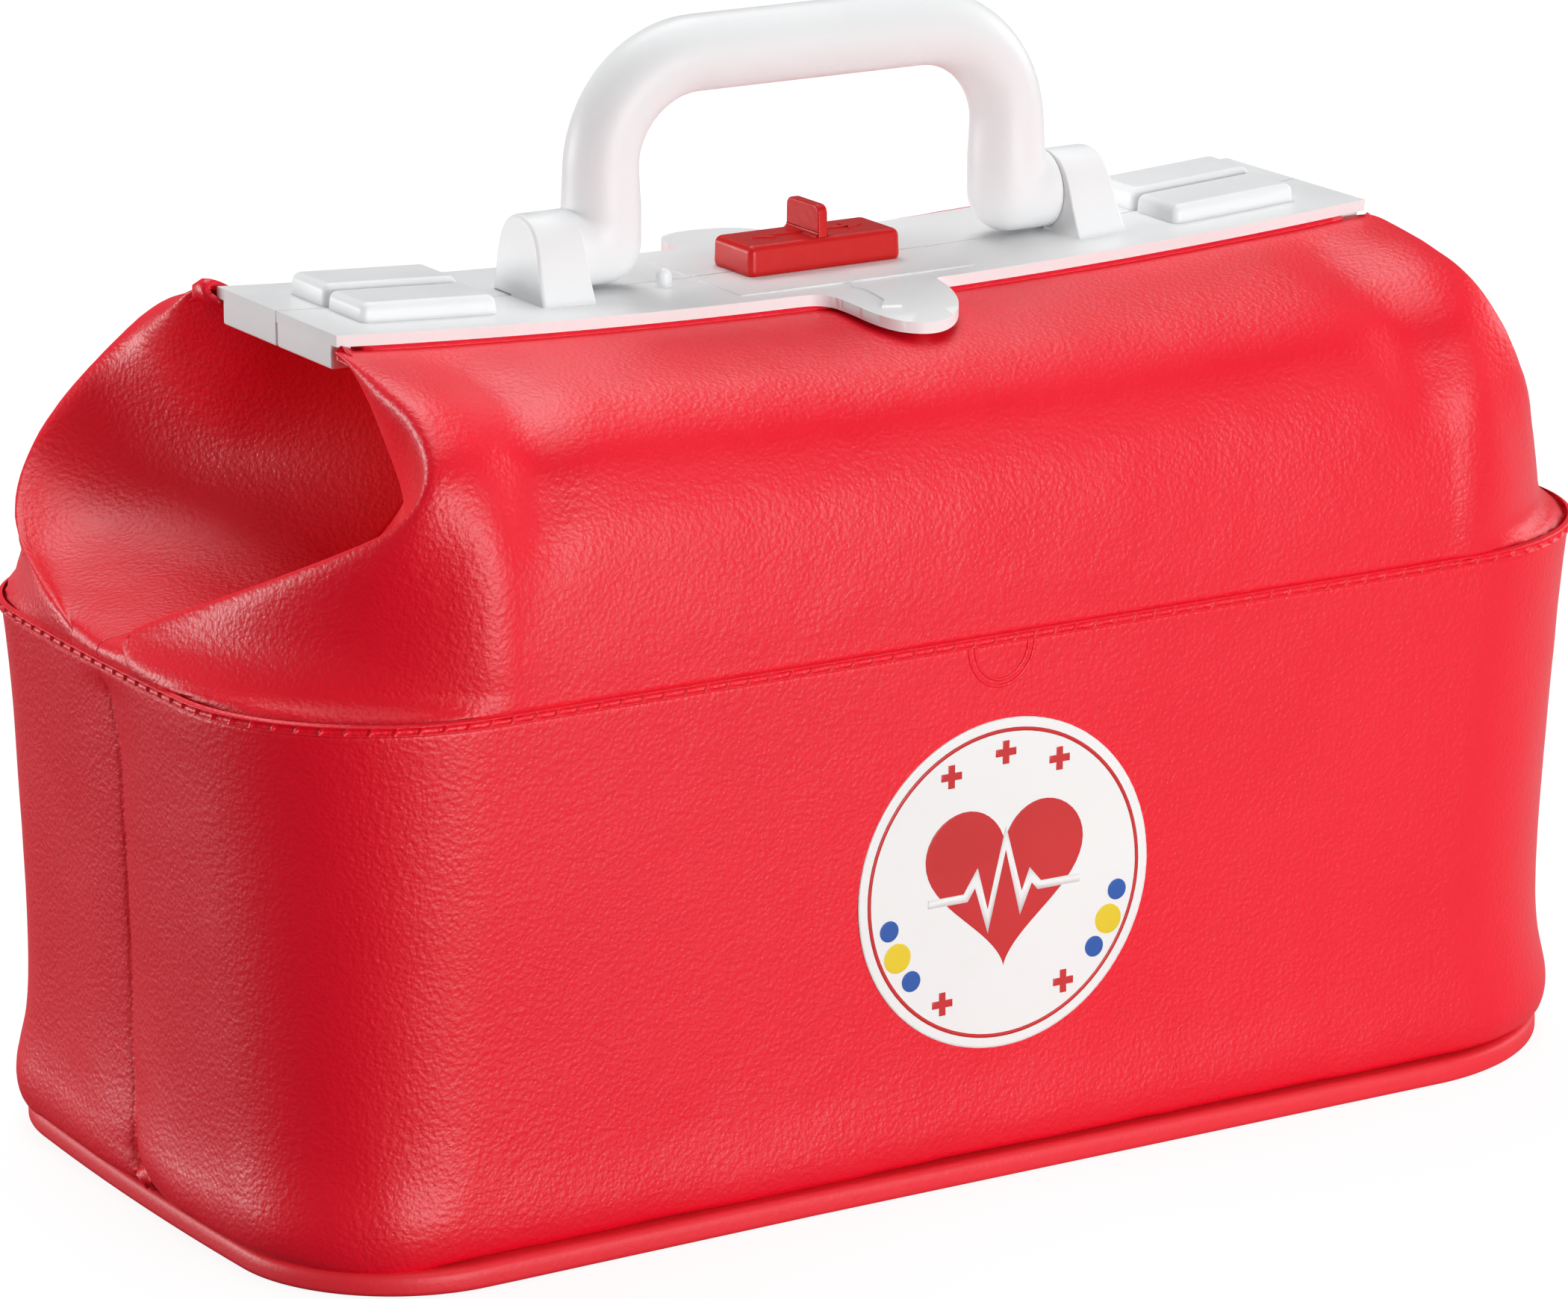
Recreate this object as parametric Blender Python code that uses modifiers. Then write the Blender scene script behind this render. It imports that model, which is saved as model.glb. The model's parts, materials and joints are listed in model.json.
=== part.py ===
"""Toy doctor case: a moulded vinyl bag with a split white frame, a folding handle and a slide latch.

Units are metres and +Z is up. X runs along the case and the front faces -Y. The origin lies on the
surface that the case stands on, under its middle. The bag is split at its embossed seam, so that the
front and the rear half can swing open about the seam while the end gussets fold.
"""
import math

import bmesh
import bpy
from mathutils import Matrix, Vector

# Bag outline at the embossed seam
SEAM_HALF_LENGTH = 0.1400
SEAM_HALF_DEPTH = 0.0658
SEAM_HEIGHT = 0.0976
CORNER_RADIUS = 0.0360
END_BULGE = 0.0030
VINYL = 0.0020
GAP = 0.0003

# Tub under the seam, its sole and its stiffening board
PAD_HEIGHT = 0.0043
PAD_INSET = 0.0046
PAD_EDGE_RADIUS = 0.0016
PAD_DEPTH_INSET = 0.0006
BOARD_THICKNESS = 0.0025
BOARD_INSET = 0.0110
# Each row: share of the seam height, then outline shares of the seam's half length and half depth
TUB_PROFILE_SHARES = (
    (0.0470, 0.9640, 0.9700),
    (0.0520, 0.9740, 0.9860),
    (0.0640, 0.9860, 1.0120),
    (0.0930, 0.9900, 1.0230),
    (0.1450, 0.9830, 1.0080),
    (0.2200, 0.9760, 0.9830),
    (0.5100, 0.9770, 0.9890),
    (0.8200, 0.9890, 0.9960),
    (0.9985, 1.0000, 1.0000),
)
CORNER_STEPS = 6
END_STEPS = 4
FRONT_STEPS = 2

# White frame plates along the mouth
PLATE_HALF_LENGTH = 0.1054
PLATE_HALF_WIDTH = 0.0220
PLATE_END_HEIGHT = 0.1546
PLATE_BOW = 0.0039
PLATE_THICKNESS = 0.0024
PLATE_STEPS = 5
END_BLOCK_DEPTH = 0.0063
END_BLOCK_LENGTH = 0.0039
END_BLOCK_HALF_WIDTH = 0.0200
TAB_REACH = 0.0210
TAB_DROOP = 0.0021
TAB_LEFT = 0.0160
TAB_RIGHT = 0.0132
# Along the tab from its left root to its right root: share of the width, share of the reach
TAB_SHARES = (
    (0.00, 0.000), (0.10, 0.012), (0.17, 0.060), (0.215, 0.160), (0.24, 0.380), (0.26, 0.600),
    (0.30, 0.780), (0.36, 0.900), (0.45, 0.980), (0.54, 1.000), (0.64, 0.960), (0.74, 0.860),
    (0.84, 0.690), (0.91, 0.500), (0.96, 0.280), (0.985, 0.080), (1.00, 0.000),
)

# Raised end pads on the plates
END_PAD_INNER = 0.0694
END_PAD_OUTER = 0.0962
END_PAD_FRONT = 0.0136
END_PAD_HEIGHT = 0.0040
END_PAD_EDGE = 0.0016

# Upper panels of the bag, from the seam to the rim under the plate
PANEL_HALF_LENGTH = 0.1000
PANEL_STEPS = 10
RIM_WIDTH = 0.0105
# Each row: share of the depth from the plate's edge to the seam, share of the height from the seam to the rim
PANEL_PROFILE_SHARES = (
    (1.000, 0.000), (1.000, 0.060), (0.997, 0.230), (0.977, 0.470), (0.932, 0.640),
    (0.827, 0.800), (0.640, 0.900), (0.411, 0.955), (0.183, 0.985), (0.046, 0.998),
)
# Ridge of the end folds: how far each row reaches from the panel's end to the seam's end
RIDGE_SHARES = (1.0, 1.0, 0.80, 0.56, 0.36, 0.250, 0.230, 0.190, 0.165, 0.150)
SHOULDER_ROW = 4
CREASE_TOP_LENGTH = 0.0640
CREASE_TOP_DROP = 0.0055
# Where each row's fold meets the crease, from the seam to the crease's top
CREASE_SHARES = (0.0, 0.0, 0.10, 0.22, 0.36, 0.50, 0.64, 0.80, 0.92, 1.0)
FOLD_DROP = 0.0080
FOLD_SET_IN = 0.0035
GUSSET_CORNER_STEPS = 8
GUSSET_FOLD_STEPS = 6
GUSSET_START_HALF_WIDTH = 0.0030

# Clamp strips and their rivets under the plates
CLAMP_HALF_LENGTH = 0.0880
CLAMP_OUTER = 0.0208
CLAMP_WIDTH = 0.0090
CLAMP_THICKNESS = 0.0020
RIVET_RADIUS = 0.0014
RIVET_HEAD_RADIUS = 0.0030
RIVET_HEAD_HEIGHT = 0.0010
RIVET_CROWN_SHARE = 0.7
RIVET_DEPTH = 0.0011
RIVET_INNER_X = 0.0280
RIVET_OUTER_X = 0.0780
RIVET_FLOAT = 0.0001
ROUND_STEPS = 16

# Handle and the lugs that carry it
LUG_INNER = 0.0495
LUG_THICKNESS = 0.0090
LUG_RADIUS = 0.0110
LUG_OFFSET = 0.0015
LUG_ARCH_HEIGHT = 0.0060
LUG_OVERHANG_CLEARANCE = 0.0026
LUG_EDGE = 0.0010
LUG_SEAT = 0.0010
PIVOT_HEIGHT = 0.1600
TRUNNION_RADIUS = 0.0035
TRUNNION_LENGTH = 0.0060
HANDLE_RADIUS = 0.0065
HANDLE_END_LEAD = 0.0006
HANDLE_LEG_X = 0.0417
HANDLE_AXIS_HEIGHT = 0.1908
HANDLE_CORNER_RADIUS = 0.0170
HANDLE_ARC_STEPS = 6
HANDLE_SIDE_STEPS = 3

# Slide latch over the split between the plates
LATCH_HALF_LENGTH = 0.0157
LATCH_HALF_WIDTH = 0.0062
LATCH_HEIGHT = 0.0053
LATCH_LIFT = 0.0005
LATCH_EDGE = 0.0008
LATCH_TRAVEL = 0.0080
FIN_THICKNESS = 0.0020
FIN_HEIGHT = 0.0056
FIN_INSET = 0.0006
LEG_HALF_LENGTH = 0.0030
LEG_THICKNESS = 0.0016
LEG_OFFSET = 0.0040
LEG_SINK = 0.0010
RETAINER_HALF_LENGTH = 0.0060
RETAINER_HALF_WIDTH = 0.0026
RETAINER_THICKNESS = 0.0015
TOOTH_HALF_LENGTH = 0.0025
TOOTH_THICKNESS = 0.0015
TOOTH_OFFSET = 0.0036
TOOTH_DEPTH = 0.0010
PEG_RADIUS = 0.0014
PEG_HEIGHT = 0.0030
PEG_SINK = 0.0011
PEG_X = 0.0305
PEG_Y = 0.0034
# Domed head: share of the peg's radius, and how far under the top as a share of the radius
PEG_DOME_SHARES = ((1.0, 0.5), (0.8, 0.2), (0.4, 0.0))

# Round label on the front wall
LABEL_RADIUS = 0.0297
LABEL_THICKNESS = 0.0004
LABEL_HEIGHT = 0.0535
LABEL_STEPS = 48

OVERRUN = 0.0020
MERGE = 0.00002
EDGE_SEGMENTS = 2
ROUND_PROFILE_SHARE = 0.5
SHARP_ANGLE = math.radians(35)

MATERIALS = {
    "red_vinyl": ((0.70, 0.010, 0.022, 1.0), 0.45),
    "red_sole": ((0.66, 0.010, 0.020, 1.0), 0.50),
    "white_plastic": ((0.86, 0.86, 0.86, 1.0), 0.30),
    "red_plastic": ((0.60, 0.012, 0.008, 1.0), 0.30),
    "grey_board": ((0.42, 0.40, 0.37, 1.0), 0.80),
    "printed_label": ((0.90, 0.90, 0.90, 1.0), 0.35),
}


def clear_scene():
    for item in list(bpy.data.objects):
        bpy.data.objects.remove(item, do_unlink=True)


def new_collection(name):
    made = bpy.data.collections.new(name)
    bpy.context.scene.collection.children.link(made)
    return made


def material(slot):
    made = bpy.data.materials.get(slot)
    if made is None:
        colour, roughness = MATERIALS[slot]
        made = bpy.data.materials.new(slot)
        made.use_nodes = True
        shader = made.node_tree.nodes["Principled BSDF"]
        shader.inputs["Base Color"].default_value = colour
        shader.inputs["Roughness"].default_value = roughness
    return made


def new_object(name, mesh, slot=None):
    made = bpy.data.objects.new(name, mesh)
    if slot is None:
        cutters.objects.link(made)
        made.hide_render = True
        made.display_type = "WIRE"
    else:
        case.objects.link(made)
        made.data.materials.append(material(slot))
    return made


def mesh_from(work, name):
    bmesh.ops.recalc_face_normals(work, faces=work.faces[:])
    made = bpy.data.meshes.new(name)
    work.to_mesh(made)
    work.free()
    return made


def hang(item, parent):
    """Parent an object to an empty and keep it where it was modelled."""
    item.parent = parent
    item.matrix_parent_inverse = Matrix.Translation(parent.location).inverted()


def joint_empty(name, place):
    made = bpy.data.objects.new(name, None)
    made.location = place
    case.objects.link(made)
    return made


def smooth(item):
    item.data.shade_smooth()
    item.data.set_sharp_from_angle(angle=SHARP_ANGLE)


def cut(target, cutter):
    step = target.modifiers.new("Cut " + cutter.name, "BOOLEAN")
    step.operation = "DIFFERENCE"
    step.solver = "EXACT"
    step.object = cutter


def join(target, added):
    step = target.modifiers.new("Join " + added.name, "BOOLEAN")
    step.operation = "UNION"
    step.solver = "EXACT"
    step.object = added


def thicken(item):
    step = item.modifiers.new("Solidify", "SOLIDIFY")
    step.thickness = VINYL
    step.offset = -1.0


def round_edges(work, edges, width):
    bmesh.ops.bevel(work, geom=edges, offset=width, segments=EDGE_SEGMENTS,
                    profile=ROUND_PROFILE_SHARE, affect="EDGES")


def box_mesh(name, low, high, edge=0.0):
    work = bmesh.new()
    bmesh.ops.create_cube(work, size=1.0)
    size = [b - a for a, b in zip(low, high)]
    middle = [(a + b) / 2 for a, b in zip(low, high)]
    bmesh.ops.scale(work, vec=size, verts=work.verts)
    bmesh.ops.translate(work, vec=middle, verts=work.verts)
    if edge:
        round_edges(work, work.edges[:], edge)
    return mesh_from(work, name)


def add_cylinder(work, radius, low, high, axis="Z", steps=ROUND_STEPS):
    """Add a closed cylinder between two points that share all but one coordinate."""
    length = (Vector(high) - Vector(low)).length
    turn = Matrix.Rotation(math.pi / 2, 4, "Y") if axis == "X" else Matrix.Identity(4)
    place = Matrix.Translation((Vector(low) + Vector(high)) / 2) @ turn
    bmesh.ops.create_cone(work, cap_ends=True, segments=steps, radius1=radius, radius2=radius,
                          depth=length, matrix=place)


def loft(work, rings, capped=True):
    """Join rings of equally many points with quads, and close the first and last ring."""
    rows = [[work.verts.new(point) for point in ring] for ring in rings]
    for low, high in zip(rows, rows[1:]):
        count = len(low)
        for i in range(count):
            j = (i + 1) % count
            work.faces.new((low[i], low[j], high[j], high[i]))
    if capped:
        work.faces.new(list(reversed(rows[0])))
        work.faces.new(rows[-1])


def grid(work, rows):
    """Join rows of points into an open sheet."""
    made = [[work.verts.new(point) for point in row] for row in rows]
    for low, high in zip(made, made[1:]):
        for i in range(len(low) - 1):
            work.faces.new((low[i], low[i + 1], high[i + 1], high[i]))


def lerp(a, b, share):
    return a + (b - a) * share


def evenly(a, b, steps):
    return [lerp(a, b, i / steps) for i in range(steps + 1)]


def lerp_point(a, b, share):
    return tuple(lerp(p, q, share) for p, q in zip(a, b))


def bezier(start, control, end, share):
    first = lerp_point(start, control, share)
    second = lerp_point(control, end, share)
    return lerp_point(first, second, share)


def end_swell(x, y, half_depth):
    """Push a point of the outline out where the ends of the bag belly."""
    return x + math.copysign(END_BULGE, x) * (1 - (y / half_depth) ** 2)


def corner_arc(half_length, half_depth, radius, steps):
    """First quadrant corner from the long side to the end, as x, y with y from high to low."""
    points = []
    for i in range(steps + 1):
        turn = math.pi / 2 * (1 - i / steps)
        x = half_length - radius + radius * math.cos(turn)
        y = half_depth - radius + radius * math.sin(turn)
        points.append((x, y))
    return points


def outline(half_length, half_depth, radius, height):
    """Counter-clockwise ring of the bag at one height, starting at the front's left end."""
    straight = half_length - END_BULGE
    corner = corner_arc(straight, half_depth, radius, CORNER_STEPS)
    corner_x = corner[0][0]
    run = [(lerp(-corner_x, corner_x, i / FRONT_STEPS), -half_depth) for i in range(1, FRONT_STEPS)]
    side_y = half_depth - radius
    side = [(straight, lerp(-side_y, side_y, i / END_STEPS)) for i in range(1, END_STEPS)]
    half = run + [(x, -y) for x, y in corner] + side + list(reversed(corner))
    ring = half + [(-x, -y) for x, y in half]
    return [(end_swell(x, y, half_depth), y, height) for x, y in ring]


def tub_ring(row, wall=0.0, height=None):
    height_share, length_share, depth_share = TUB_PROFILE_SHARES[row]
    level = SEAM_HEIGHT * height_share if height is None else height
    return outline(SEAM_HALF_LENGTH * length_share - wall, SEAM_HALF_DEPTH * depth_share - wall,
                   CORNER_RADIUS - wall, level)


def floor_height():
    return PAD_HEIGHT + GAP + VINYL


def build_tub():
    """Lower tub: outer wall up to the seam, then the inner wall down to the floor."""
    last = len(TUB_PROFILE_SHARES) - 1
    rings = [tub_ring(0, height=PAD_HEIGHT + GAP)]
    rings += [tub_ring(row) for row in range(1, last)]
    rings += [tub_ring(last, height=SEAM_HEIGHT - GAP / 2)]
    rings += [tub_ring(last, wall=VINYL, height=SEAM_HEIGHT - GAP / 2)]
    rings += [tub_ring(row, wall=VINYL) for row in range(last - 1, 2, -1)]
    rings += [tub_ring(1, wall=VINYL, height=floor_height())]
    work = bmesh.new()
    loft(work, rings)
    item = new_object("bag_tub", mesh_from(work, "bag_tub"), "red_vinyl")
    smooth(item)


def build_sole():
    low_inset = PAD_INSET + PAD_EDGE_RADIUS
    half_length = SEAM_HALF_LENGTH - PAD_INSET
    half_depth = SEAM_HALF_DEPTH - PAD_DEPTH_INSET
    rings = [
        outline(SEAM_HALF_LENGTH - low_inset, half_depth - PAD_EDGE_RADIUS, CORNER_RADIUS, 0.0),
        outline(half_length, half_depth, CORNER_RADIUS, PAD_EDGE_RADIUS),
        outline(half_length, half_depth, CORNER_RADIUS, PAD_HEIGHT),
    ]
    work = bmesh.new()
    loft(work, rings)
    smooth(new_object("base_pad", mesh_from(work, "base_pad"), "red_sole"))


def build_board():
    low = floor_height() + GAP
    half_length = SEAM_HALF_LENGTH - BOARD_INSET
    half_depth = SEAM_HALF_DEPTH - BOARD_INSET
    rings = [outline(half_length, half_depth, CORNER_RADIUS - BOARD_INSET, level)
             for level in (low, low + BOARD_THICKNESS)]
    work = bmesh.new()
    loft(work, rings)
    new_object("floor_board", mesh_from(work, "floor_board"), "grey_board")


def plate_top(x):
    return PLATE_END_HEIGHT - PLATE_BOW * (1 - (x / PLATE_HALF_LENGTH) ** 2)


def rim_height(x):
    """Level of the vinyl's outer face where it lies under the plate."""
    return plate_top(x) - PLATE_THICKNESS - GAP


def panel_point(row, x):
    depth_share, height_share = PANEL_PROFILE_SHARES[row]
    low = SEAM_HEIGHT + GAP / 2
    depth = lerp(PLATE_HALF_WIDTH, SEAM_HALF_DEPTH, depth_share)
    return (x, -depth, lerp(low, rim_height(x), height_share))


def rim_inner():
    return PLATE_HALF_WIDTH - RIM_WIDTH


def turned(point, side):
    """Front half points as they are, rear half points turned half a turn about Z."""
    return point if side < 0 else (-point[0], -point[1], point[2])


def build_panel(name, side):
    rows = []
    stations = evenly(-PANEL_HALF_LENGTH, PANEL_HALF_LENGTH, PANEL_STEPS)
    for row in range(len(PANEL_PROFILE_SHARES)):
        rows.append([turned(panel_point(row, x), side) for x in stations])
    for y in (PLATE_HALF_WIDTH, rim_inner()):
        rows.append([turned((x, -y, rim_height(x)), side) for x in stations])
    work = bmesh.new()
    grid(work, rows)
    item = new_object(name, mesh_from(work, name), "red_vinyl")
    thicken(item)
    cut(item, rivet_holes)
    smooth(item)
    return item


def crease_foot():
    return (SEAM_HALF_LENGTH, 0.0, panel_point(1, PANEL_HALF_LENGTH)[2])


def crease_top():
    return (CREASE_TOP_LENGTH, 0.0, rim_height(PANEL_HALF_LENGTH) - CREASE_TOP_DROP)


def ridge_point(row):
    """Outermost point of one row: on the fold crest under the shoulder, on the ridge above it."""
    reach = lerp(PANEL_HALF_LENGTH, SEAM_HALF_LENGTH, RIDGE_SHARES[row])
    x, y, z = panel_point(row, PANEL_HALF_LENGTH)
    return (reach, y, z)


def crest_point(row):
    if row >= SHOULDER_ROW:
        return ridge_point(row)
    low_share = PANEL_PROFILE_SHARES[1][1]
    top_share = PANEL_PROFILE_SHARES[SHOULDER_ROW][1]
    share = max(0.0, (PANEL_PROFILE_SHARES[row][1] - low_share) / (top_share - low_share))
    foot = (SEAM_HALF_LENGTH, -GUSSET_START_HALF_WIDTH, panel_point(min(row, 1), PANEL_HALF_LENGTH)[2])
    return lerp_point(foot, ridge_point(SHOULDER_ROW), share)


def seam_corner(row):
    """Seam outline from the panel's end round the front right corner to the crest's foot."""
    straight = SEAM_HALF_LENGTH - END_BULGE
    arc = corner_arc(straight, SEAM_HALF_DEPTH, CORNER_RADIUS, GUSSET_CORNER_STEPS - 2)
    start = PANEL_HALF_LENGTH + GAP
    points = [(start, SEAM_HALF_DEPTH)] + [p for p in arc if p[0] > start + VINYL / 2]
    side_y = lerp(arc[-1][1], GUSSET_START_HALF_WIDTH, 0.5)
    points += [(straight, side_y), (straight, GUSSET_START_HALF_WIDTH)]
    level = panel_point(row, PANEL_HALF_LENGTH)[2]
    return [(end_swell(x, y, SEAM_HALF_DEPTH), -y, level) for x, y in points]


def gusset_row(row):
    """One row of the front half of the right gusset, from the panel's edge to the crease."""
    start = (PANEL_HALF_LENGTH + GAP,) + panel_point(row, PANEL_HALF_LENGTH)[1:]
    lead = (PANEL_HALF_LENGTH + GAP + VINYL / 2,) + start[1:]
    seam = seam_corner(row)
    count = len(seam) - 1
    crest = crest_point(row)
    if row < 2:
        outer = [start, lead] + seam[1:]
    else:
        control = (max(crest[0], ridge_point(row)[0]), start[1], lerp(start[2], crest[2], 0.5))
        outer = [start, lead] + [bezier(lead, control, crest, i / count) for i in range(1, count + 1)]
    foot, top = crease_foot(), crease_top()
    inner_end = lerp_point(foot, top, CREASE_SHARES[row])
    if row == 0:
        inner_end = (foot[0], 0.0, outer[-1][2])
    fold = max(0.0, (row - 1) / (len(PANEL_PROFILE_SHARES) - 2))
    middle = lerp_point(outer[-1], inner_end, (1 - fold) / 2)
    set_in = FOLD_SET_IN if row >= SHOULDER_ROW else 0.0
    control = (middle[0], middle[1] + set_in, middle[2] - FOLD_DROP * fold)
    shares = [i / GUSSET_FOLD_STEPS for i in range(1, GUSSET_FOLD_STEPS + 1)]
    return outer + [bezier(outer[-1], control, inner_end, share) for share in shares]


def build_gusset(name, side):
    """End gusset: round the corners and folded in between the two ridges."""
    rows = []
    for row in range(len(PANEL_PROFILE_SHARES)):
        front = gusset_row(row)
        rear = [(x, -y, z) for x, y, z in reversed(front[:-1])]
        rows.append([(side * x, y, z) for x, y, z in front + rear])
    work = bmesh.new()
    grid(work, rows)
    if side < 0:
        bmesh.ops.reverse_faces(work, faces=work.faces[:])
    made = bpy.data.meshes.new(name)
    work.to_mesh(made)
    work.free()
    item = new_object(name, made, "red_vinyl")
    thicken(item)
    smooth(item)


def plate_stations():
    """Places along X where the plate's section is set: ends, block steps, tab and the runs between."""
    block = PLATE_HALF_LENGTH - END_BLOCK_LENGTH
    ends = [(-PLATE_HALF_LENGTH, True), (-block - GAP / 2, True), (-block + GAP / 2, False)]
    spans = [(x, False) for x in evenly(-block, -TAB_LEFT, PLATE_STEPS)[1:-1]]
    tab = [(lerp(-TAB_LEFT, TAB_RIGHT, share), False) for share, _ in TAB_SHARES]
    after = [(x, False) for x in evenly(TAB_RIGHT, block, PLATE_STEPS)[1:-1]]
    return ends + spans + tab + after + [(-x, thick) for x, thick in reversed(ends)]


def tab_reach_at(x):
    share = (x + TAB_LEFT) / (TAB_LEFT + TAB_RIGHT)
    for (a, low), (b, high) in zip(TAB_SHARES, TAB_SHARES[1:]):
        if a <= share <= b:
            return TAB_REACH * lerp(low, high, (share - a) / (b - a))
    return 0.0


def plate_section(x, thick):
    top = plate_top(x)
    reach = tab_reach_at(x)
    droop = TAB_DROOP * (reach / TAB_REACH) ** 2
    front = -PLATE_HALF_WIDTH - reach
    edge = -PLATE_HALF_WIDTH + GAP
    under = top - PLATE_THICKNESS
    split = -GAP / 2
    if thick:
        deep = top - END_BLOCK_DEPTH
        return [(x, front, top), (x, edge, top), (x, split, top), (x, split, deep),
                (x, -END_BLOCK_HALF_WIDTH, deep), (x, front, under)]
    return [(x, front, top - droop), (x, edge, top), (x, split, top), (x, split, under),
            (x, edge, under), (x, front, under - droop)]


def build_plate(name, side):
    work = bmesh.new()
    loft(work, [[turned(point, side) for point in plate_section(x, thick)] for x, thick in plate_stations()])
    item = new_object(name, mesh_from(work, name), "white_plastic")
    for number, end in enumerate((-1, 1)):
        middle = end * (END_PAD_INNER + END_PAD_OUTER) / 2
        low_x, high_x = sorted((end * END_PAD_INNER, end * END_PAD_OUTER))
        base = plate_top(middle) - PLATE_THICKNESS / 2
        top = plate_top(middle) + END_PAD_HEIGHT
        low_y, high_y = sorted((side * END_PAD_FRONT, side * GAP))
        mesh = box_mesh(name + "_pad", (low_x, low_y, base), (high_x, high_y, top), END_PAD_EDGE)
        join(item, new_object(f"{name}_pad_{number}", mesh))
    return item


def lug_outline():
    """Lug seen along X: foot on the front plate, arch over the pivot, overhang over the rear plate."""
    foot = plate_top(LUG_INNER) - LUG_SEAT
    arch = plate_top(LUG_INNER) + LUG_ARCH_HEIGHT
    clear = plate_top(LUG_INNER + LUG_THICKNESS) + LUG_OVERHANG_CLEARANCE
    points = [(-LUG_OFFSET - LUG_RADIUS, foot)]
    for i in range(ROUND_STEPS + 1):
        turn = math.pi * (1 - i / ROUND_STEPS)
        points.append((-LUG_OFFSET + LUG_RADIUS * math.cos(turn), arch + LUG_RADIUS * math.sin(turn)))
    points += [(-LUG_OFFSET + LUG_RADIUS, clear), (-GAP, clear), (-GAP, foot)]
    return points


def build_lug(name, side):
    work = bmesh.new()
    inner, outer = side * LUG_INNER, side * (LUG_INNER + LUG_THICKNESS)
    loft(work, [[(x, y, z) for y, z in lug_outline()] for x in (inner, outer)])
    bmesh.ops.recalc_face_normals(work, faces=work.faces[:])
    rims = [edge for edge in work.edges if all(abs(vert.co.x - outer) < MERGE for vert in edge.verts)]
    round_edges(work, rims, LUG_EDGE)
    return new_object(name, mesh_from(work, name))


def build_front_frame():
    item = build_plate("front_frame", -1)
    join(item, build_lug("left_lug", -1))
    join(item, build_lug("right_lug", 1))
    work = bmesh.new()
    bore = TRUNNION_RADIUS + GAP
    for side in (-1, 1):
        near = side * (LUG_INNER - OVERRUN)
        far = side * (LUG_INNER + TRUNNION_LENGTH + GAP)
        low, high = sorted((near, far))
        add_cylinder(work, bore, (low, 0, PIVOT_HEIGHT), (high, 0, PIVOT_HEIGHT), "X")
    cut(item, new_object("lug_bores", mesh_from(work, "lug_bores")))
    reach = LATCH_TRAVEL + LEG_HALF_LENGTH + GAP
    wide = LEG_THICKNESS / 2 + GAP
    top = plate_top(0)
    slot = box_mesh("latch_slot", (-reach, -LEG_OFFSET - wide, top - PLATE_THICKNESS - OVERRUN),
                    (reach, -LEG_OFFSET + wide, top + OVERRUN))
    cut(item, new_object("latch_slot", slot))
    work = bmesh.new()
    level = plate_top(PEG_X)
    add_cylinder(work, PEG_RADIUS + GAP, (-PEG_X, -PEG_Y, level - PEG_SINK - GAP),
                 (-PEG_X, -PEG_Y, level + OVERRUN))
    cut(item, new_object("peg_hole", mesh_from(work, "peg_hole")))
    cut(item, rivet_holes)
    smooth(item)
    return item


def build_rear_frame():
    item = build_plate("rear_frame", 1)
    top = plate_top(0)
    half = TOOTH_THICKNESS / 2 + GAP
    reach = LATCH_TRAVEL + TOOTH_HALF_LENGTH + GAP
    floor = top - TOOTH_DEPTH - GAP
    groove = box_mesh("keeper_groove", (-reach, TOOTH_OFFSET - half, floor),
                      (reach, TOOTH_OFFSET + half, top + OVERRUN))
    passage = box_mesh("keeper_passage", (-TOOTH_HALF_LENGTH - GAP, -OVERRUN, floor),
                       (TOOTH_HALF_LENGTH + GAP, TOOTH_OFFSET, top + OVERRUN))
    cut(item, new_object("keeper_groove", groove))
    cut(item, new_object("keeper_passage", passage))
    cut(item, rivet_holes)
    smooth(item)
    return item


def clamp_top(x):
    return rim_height(x) - VINYL - GAP


def build_clamp(name, side):
    near, far = -CLAMP_OUTER, -CLAMP_OUTER + CLAMP_WIDTH
    rings = []
    for x in evenly(-CLAMP_HALF_LENGTH, CLAMP_HALF_LENGTH, PANEL_STEPS):
        top = clamp_top(x)
        low = top - CLAMP_THICKNESS
        section = [(x, near, top), (x, far, top), (x, far, low), (x, near, low)]
        rings.append([turned(point, side) for point in section])
    work = bmesh.new()
    loft(work, rings)
    item = new_object(name, mesh_from(work, name), "white_plastic")
    cut(item, rivet_holes)
    return item


def rivet_places(side):
    y = side * (CLAMP_OUTER - CLAMP_WIDTH / 2)
    return [(x, y) for x in (-RIVET_OUTER_X, -RIVET_INNER_X, RIVET_INNER_X, RIVET_OUTER_X)]


def build_rivet_holes():
    """Cutter for the holes through the clamp strips and the vinyl rims into the plates."""
    work = bmesh.new()
    for side in (-1, 1):
        for x, y in rivet_places(side):
            low = clamp_top(x) - CLAMP_THICKNESS - OVERRUN
            high = rim_height(x) + GAP + RIVET_DEPTH + GAP
            add_cylinder(work, RIVET_RADIUS + GAP, (x, y, low), (x, y, high))
    return new_object("rivet_holes", mesh_from(work, "rivet_holes"))


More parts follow.
